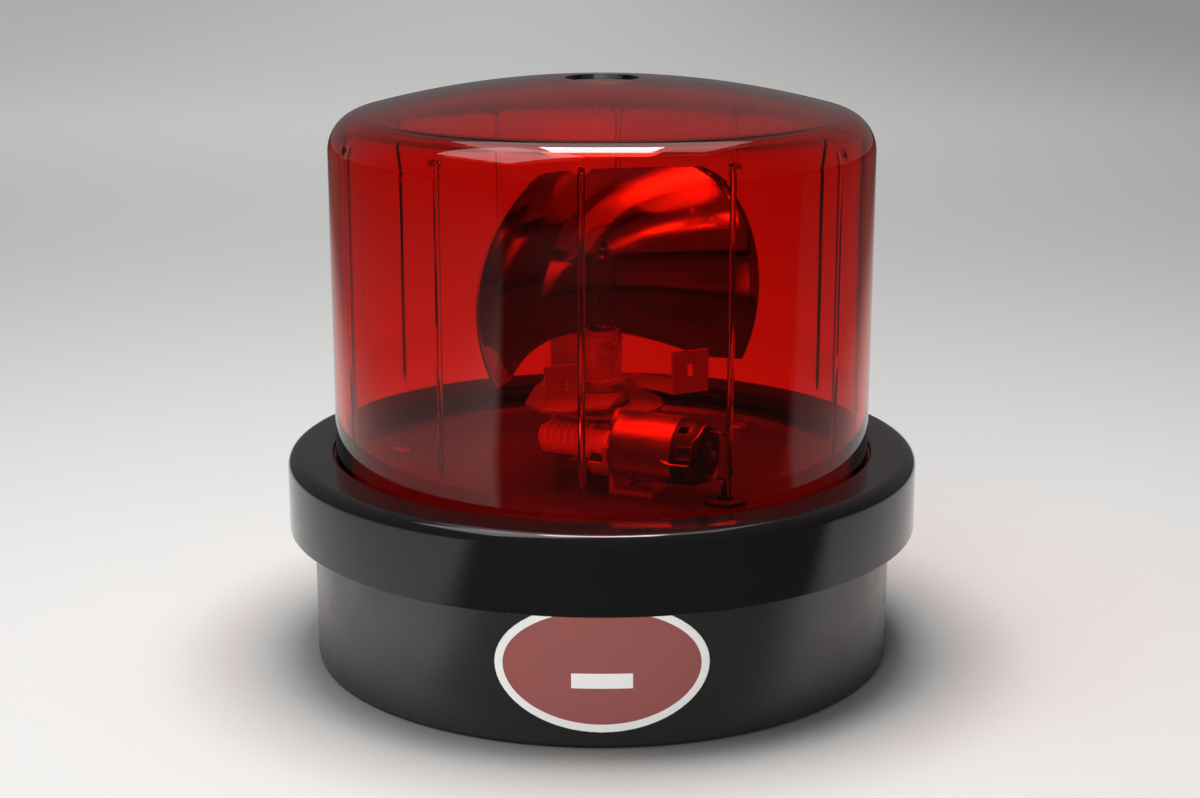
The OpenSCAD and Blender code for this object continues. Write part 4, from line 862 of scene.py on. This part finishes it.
def brush_leads():
    """Two bare leads from the brush holders round the bell's shoulder to the terminals."""
    r, out, fit = 0.35 * MM, 1.6 * MM, 0.02 * MM
    holder_half_h = 2.1 * MM
    terminal_off, terminal_t, terminal_w = 7.2 * MM, 0.6 * MM, 2.8 * MM
    start, back = bell_r - r, bell_l + out
    route = [(start, -holder_half_h - fit, bell_l - out), (start, -holder_half_h - out, bell_l - out)]
    round_bell = [math.radians(a) for a in (30, 62)]
    route += [(bell_r * math.cos(a), -bell_r * math.sin(a), bell_l) for a in round_bell]
    route += [(terminal_w / 4, -terminal_off - out, back),
              (terminal_w / 4, -terminal_off - terminal_t / 2 - fit, back)]
    line = softened(route)
    lines = [[Matrix.Rotation(math.radians(76 + side), 3, "Z") @ p for p in line] for side in (0, 180)]
    return wire_piece("brush_leads", lines, r, motor_frame(motor_end_s), sides=12)


def filament():
    """A tungsten coil across the beam on two legs in a glass foot."""
    leg_x, leg_r, coil_half = 1.7 * MM, 0.3 * MM, 2.4 * MM
    up = filament_z - glass_foot_z
    coil = [p + Vector((0, 0, up)) for p in helix(0.5 * MM, coil_half - 0.15 * MM, 14, 14 * 24)]
    legs = [[Vector((x, 0, 1 * MM)), Vector((x, 0, up - 0.5 * MM))] for x in (-leg_x, leg_x)]
    place = Matrix.Rotation(beam_turn, 4, "Z") @ Matrix.Translation((0, 0, glass_foot_z))
    coil_mesh = grown("filament_coil", round_wire, polyline("coil_line", [coil]), Radius=0.13 * MM, Sides=8,
                      Material=finishes["tungsten"])
    leg_mesh = grown("filament_legs", round_wire, polyline("leg_line", legs), Radius=leg_r, Sides=12,
                     Material=finishes["tungsten"])
    pinch_r, pinch_h, ease = glass_r - glass_wall - 0.9 * MM, 2 * MM, 0.3 * MM
    pinch = [(0, 0), (pinch_r - ease, 0), (pinch_r, ease)]
    pinch += [(pinch_r, pinch_h - ease), (pinch_r - ease, pinch_h), (0, pinch_h)]
    foot = mesh_of("filament_foot", *turned(pinch, 48))
    joined = joined_mesh("lamp_filament_skin", [coil_mesh, leg_mesh, foot])
    joined.transform(place)
    return finish_piece("lamp_filament_skin", joined, "lamp_filament", smooth=45.0)


def joined_mesh(name, meshes):
    work = bmesh.new()
    for mesh in meshes:
        work.from_mesh(mesh)
    joined = bpy.data.meshes.new(name)
    work.to_mesh(joined)
    work.free()
    return joined


def contact_spring():
    """The coil that pushes the lamp's contact up."""
    low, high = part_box("contact_spring")
    wire_r = 0.22 * MM
    r = (high.x - low.x) / 2 - wire_r
    half = (high.z - low.z) / 2 - wire_r
    coil = [Vector((p.y, p.z, p.x + low.z + half + wire_r)) for p in helix(r, half, 5, 5 * 32)]
    return wire_piece("contact_spring", [coil], wire_r, Matrix.Identity(4), sides=10)


bonding_wire()
brush_leads()
filament()
contact_spring()


# Screws: one geometry tree slots a turned blank and puts it at each point of a node

def screw_tree():
    """Cuts a slot in a screw blank and sets it, head up, on the points of a mesh, each at a seeded turn."""
    tree, given, out = new_group("slotted_screws", "GeometryNodeTree", {
        "Geometry": ("NodeSocketGeometry", None), "Blank": ("NodeSocketObject", None),
        "Blank Scale": (FLOAT, 0.001), "Head Width": (FLOAT, 5.0), "Head Height": (FLOAT, 2.0),
        "Slot Width": (FLOAT, 0.7), "Slot Depth": (FLOAT, 1.0), "Seed": ("NodeSocketInt", 3),
        "Material": ("NodeSocketMaterial", None),
    }, {"Geometry": "NodeSocketGeometry"})
    blank = put(tree, "GeometryNodeObjectInfo", Object=given["Blank"])
    size = put(tree, "ShaderNodeCombineXYZ", X=times(tree, given["Head Width"], 2.0),
               Y=given["Slot Width"], Z=times(tree, given["Slot Depth"], 2.0))
    cutter = put(tree, "GeometryNodeMeshCube", Size=size.outputs[0])
    raised = put(tree, "ShaderNodeCombineXYZ", Z=given["Head Height"])
    cutter = put(tree, "GeometryNodeTransform", Geometry=cutter.outputs["Mesh"],
                 Translation=raised.outputs[0])
    slotted = put(tree, "GeometryNodeMeshBoolean", {"operation": "DIFFERENCE"})
    tree.links.new(blank.outputs["Geometry"], slotted.inputs["Mesh 1"])
    tree.links.new(cutter.outputs[0], slotted.inputs["Mesh 2"])
    chance = tree.nodes.new("FunctionNodeRandomValue")
    chance.data_type = "FLOAT"
    chance.inputs[2].default_value = 0.0
    chance.inputs[3].default_value = math.pi
    feed(tree, chance.inputs["Seed"], given["Seed"])
    turn = put(tree, "ShaderNodeCombineXYZ", Z=chance.outputs[1])
    spin = put(tree, "FunctionNodeEulerToRotation", Euler=turn.outputs[0])
    placed = put(tree, "GeometryNodeInstanceOnPoints", Points=given["Geometry"], Instance=slotted.outputs[0],
                 Rotation=spin.outputs[0], Scale=given["Blank Scale"])
    end_tree(tree, placed.outputs[0], given["Material"], out)
    return tree


def screw_blank(shank_d, head_d, head_h, length):
    """One screw without its slot, in millimetres, the head's underside at 0."""
    ease, tip = 0.15 * head_h, 0.15 * shank_d
    shank_r, head_r = shank_d / 2, head_d / 2
    profile = [(0, -length), (shank_r - tip, -length), (shank_r, tip - length), (shank_r, 0), (head_r, 0)]
    profile += arc(head_r - ease, head_h - ease, ease, 0, 90, 4) + [(0, head_h)]
    blank = bpy.data.objects.new("screw_blank", mesh_of("screw_turned", *turned(profile, 48), merge=0.001))
    bpy.context.scene.collection.objects.link(blank)
    return blank


slotted_screws = screw_tree()

UP = Matrix.Identity(4)
DOWN = Matrix.Rotation(math.pi, 4, "X")
screw_sizes = {"M2": (2.0, 3.8, 1.4), "M3": (3.0, 5.0, 2.0), "M4": (4.0, 7.0, 2.4)}
slot_w = 0.7


def loose_parts(node, frame_of):
    """Boxes of the separate solids of a node's mesh, seen in a frame."""
    work = bmesh.new()
    work.from_mesh(nodes[node].data)
    bmesh.ops.remove_doubles(work, verts=work.verts, dist=0.001 * MM)
    work.transform(frame_of.inverted())
    left = set(work.verts)
    boxes = []
    while left:
        group, queue = set(), [left.pop()]
        while queue:
            vert = queue.pop()
            group.add(vert)
            for edge in vert.link_edges:
                other = edge.other_vert(vert)
                if other in left:
                    left.discard(other)
                    queue.append(other)
        spots = np.array([v.co for v in group])
        boxes.append((Vector(spots.min(0)), Vector(spots.max(0))))
    work.free()
    return sorted(boxes, key=lambda b: tuple(round(c, 5) for c in b[0]))


def screws(node, kind, frame_of=UP, seed=3):
    """Screws of one node, each where the CAD's screw is, their heads towards the frame's Z."""
    shank_d, head_d, head_h = screw_sizes[kind]
    boxes = loose_parts(node, frame_of)
    seats = [Vector(((a.x + b.x) / 2, (a.y + b.y) / 2, b.z - head_h * MM)) for a, b in boxes]
    length = (boxes[0][1].z - boxes[0][0].z) / MM - head_h
    blank = screw_blank(shank_d, head_d, head_h, length)
    points = bpy.data.meshes.new(node + "_points")
    points.from_pydata([tuple(p) for p in seats], [], [])
    made = grown(node + "_skin", slotted_screws, points, Blank=blank, Blank_Scale=MM, Head_Width=head_d,
                 Head_Height=head_h, Slot_Width=slot_w, Slot_Depth=head_h / 2, Seed=seed,
                 Material=finishes[slot_of[node]])
    bpy.data.objects.remove(blank)
    made.transform(frame_of)
    return finish_piece(node + "_skin", made, node, smooth=35.0)


beam_frame = Matrix.Rotation(beam_turn, 4, "Z") @ Matrix.Rotation(math.radians(-90), 4, "X")
screws("chassis_screws", "M4", seed=5)
screws("cover_screws", "M3")
screws("post_screws", "M2")
screws("terminal_screws", "M3")
screws("bracket_screws", "M3", DOWN)
screws("ring_screws", "M3", DOWN)
screws("motor_screws", "M2", motor_frame() @ DOWN)
screws("reflector_screws", "M3", beam_frame)


# Turned and pressed parts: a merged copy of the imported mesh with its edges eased

def eased(node, width, sharpest=32.0):
    mesh = nodes[node].data.copy()
    mesh.name = node + "_skin"
    work = bmesh.new()
    work.from_mesh(mesh)
    bmesh.ops.remove_doubles(work, verts=work.verts, dist=0.001 * MM)
    bmesh.ops.dissolve_limit(work, angle_limit=math.radians(0.3), verts=work.verts, edges=work.edges)
    bmesh.ops.recalc_face_normals(work, faces=work.faces)
    work.to_mesh(mesh)
    work.free()
    if "custom_normal" in mesh.attributes:
        mesh.attributes.remove(mesh.attributes["custom_normal"])
    piece = finish_piece(node + "_skin", mesh, node, smooth=180.0)
    ease = piece.modifiers.new("eased_edges", "BEVEL")
    ease.width = width
    ease.segments = 2
    ease.limit_method = "ANGLE"
    ease.angle_limit = math.radians(sharpest)
    ease.harden_normals = True
    return piece


eased_edges = {
    "turntable_bracket": 0.2 * MM, "gear_cover": 0.2 * MM, "motor_bracket": 0.2 * MM,
    "motor_can": 0.25 * MM, "motor_end_bell": 0.2 * MM, "retaining_collar": 0.25 * MM,
    "lamp_post": 0.3 * MM, "socket_shell": 0.12 * MM, "lamp_cap": 0.12 * MM,
    "brush_holders": 0.08 * MM, "motor_terminals": 0.08 * MM, "base_shell": 0.25 * MM,
    "chassis_plate": 0.2 * MM, "wheel_hub": 0.2 * MM, "cover_pillars": 0.25 * MM,
    "thrust_washer": 0.1 * MM, "terminal_strip": 0.4 * MM, "cable_grommet": 0.3 * MM,
    "chassis_grommet": 0.3 * MM, "reflector_boss": 0.2 * MM,
}
for name, width in eased_edges.items():
    eased(name, width)


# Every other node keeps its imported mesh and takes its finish

for name, node in nodes.items():
    if not node.hide_render:
        node.data.materials.clear()
        node.data.materials.append(finishes[slot_of[name]])


# Studio

floor_half = 6
floor_pale = rgba(0.76, 0.76, 0.745)
# Painted reflection: the dark floor that glossy rays see in front of the light; the paper itself is pale.
painted_reflection_dark = rgba(0.03, 0.03, 0.03)
floor_glow = rgba(1.0, 1.0, 0.985)
back_glow = 0.42
# Reach of the painted shade (ambient occlusion) that darkens the floor's colour round the light's foot.
foot_shadow = 0.06
room_front = rgba(0.035, 0.035, 0.036)
room_back = rgba(0.16, 0.16, 0.162)
camera_place = (-0.6 * MM, -676.9 * MM, 251.5 * MM)
camera_down = 14.03
camera_lens = 64.12


def floor_plane(material):
    corners = [(-floor_half, -floor_half, 0), (floor_half, -floor_half, 0),
               (floor_half, floor_half, 0), (-floor_half, floor_half, 0)]
    mesh = bpy.data.meshes.new("floor")
    mesh.from_pydata(corners, [], [(0, 1, 2, 3)])
    mesh.materials.append(material)
    piece = bpy.data.objects.new("floor", mesh)
    bpy.context.scene.collection.objects.link(piece)


def painted_reflection_floor(tree, x, y):
    """Painted reflection: the share of pale paper that glossy rays see, painted dark straight in front, pale
    to the left and behind, and dimmer far to either side.
    """
    aslant = minus(tree, times(tree, y, 0.62), times(tree, x, 0.79))
    pale = calc(tree, "MAXIMUM", ramp(tree, aslant, (-0.01, 0.03)), ramp(tree, y, (-0.11, -0.07)))
    return times(tree, pale, ramp(tree, calc(tree, "ABSOLUTE", x), (0.25, 0.55), 1.0, 0.25))


def floor_material():
    """Pale paper that glows towards the back to make the backdrop, with painted shade from ambient occlusion
    at the light's foot and a painted reflection that glossy rays see.
    """
    material, tree, shader, where = blank_material("pale_floor")
    x, y, z = put(tree, "ShaderNodeSeparateXYZ", Vector=where).outputs
    path = tree.nodes.new("ShaderNodeLightPath").outputs
    seen = calc(tree, "MAXIMUM", path["Is Camera Ray"], path["Is Transmission Ray"])
    # Painted reflection: glossy rays see the paper painted dark straight in front and far to the sides.
    painted_reflection_share = painted_reflection_floor(tree, x, y)
    painted_reflection_pale = calc(tree, "MAXIMUM", minus(tree, 1.0, path["Is Glossy Ray"]), painted_reflection_share)
    pale = mix_colour(tree, painted_reflection_pale, painted_reflection_dark, floor_pale)
    # Painted shade: ambient occlusion darkens the paper's colour round the light's foot.
    painted_contact_shade = put(tree, "ShaderNodeAmbientOcclusion", {"samples": 8}, Color=pale, Distance=foot_shadow)
    tree.links.new(painted_contact_shade.outputs["Color"], shader.inputs["Base Color"])
    shader.inputs["Roughness"].default_value = 0.8
    glow = ramp(tree, y, (0.15, 1.6), 0.0, back_glow)
    # Painted light falloff: the backdrop's glow is painted a little dimmer far to the left and much dimmer
    # to the right.
    aside = times(tree, ramp(tree, x, (-1.0, -0.2), 0.84, 1.0), ramp(tree, x, (-0.2, 1.0), 1.0, 0.5))
    shader.inputs["Emission Color"].default_value = floor_glow
    tree.links.new(times(tree, times(tree, glow, aside), seen), shader.inputs["Emission Strength"])
    return material


def room():
    """A dim room, a little brighter behind the light than in front of it."""
    world = bpy.data.worlds.new("studio")
    bpy.context.scene.world = world
    world.use_nodes = True
    sky = world.node_tree
    direction = sky.nodes.new("ShaderNodeTexCoord").outputs["Generated"]
    facing = put(sky, "ShaderNodeSeparateXYZ", Vector=direction)
    back = ramp(sky, facing.outputs["Y"], (-0.2, 0.8))
    feed(sky, sky.nodes["Background"].inputs["Color"], mix_colour(sky, back, room_front, room_back))


def soft_light(name, place, aim, size, power):
    lamp = bpy.data.lights.new(name, "AREA")
    lamp.shape = "RECTANGLE"
    lamp.size, lamp.size_y = size
    lamp.energy = power
    holder = bpy.data.objects.new(name, lamp)
    holder.location = place
    holder.rotation_euler = (Vector(aim) - Vector(place)).to_track_quat("-Z", "Y").to_euler()
    bpy.context.scene.collection.objects.link(holder)
    return holder


def photo_camera():
    data = bpy.data.cameras.new("photo_camera")
    data.lens = camera_lens
    data.sensor_width = 36
    camera = bpy.data.objects.new("photo_camera", data)
    camera.location = camera_place
    camera.rotation_euler = (math.radians(90 - camera_down), 0, 0)
    bpy.context.scene.collection.objects.link(camera)
    bpy.context.scene.camera = camera


floor_plane(floor_material())
room()
soft_light("overhead", place=(0.0, 0.16, 0.98), aim=(0, 0.05, 0.1), size=(0.85, 0.52), power=2.4)
soft_light("hot_spot", place=(0.0, 0.0, 0.975), aim=(0, 0.0, 0.1), size=(0.36, 0.28), power=5.4)
soft_light("key_box", place=(-0.42, -0.20, 0.96), aim=(0, 0, 0.08), size=(0.55, 0.55), power=2.8)
front_fill = soft_light("front_fill", place=(-0.25, -1.10, 0.30), aim=(0, 0, 0.07), size=(0.5, 0.3),
                        power=6.6)
front_fill.visible_glossy = False
front_fill.visible_transmission = False
photo_camera()
bpy.context.scene.view_settings.view_transform = "Standard"
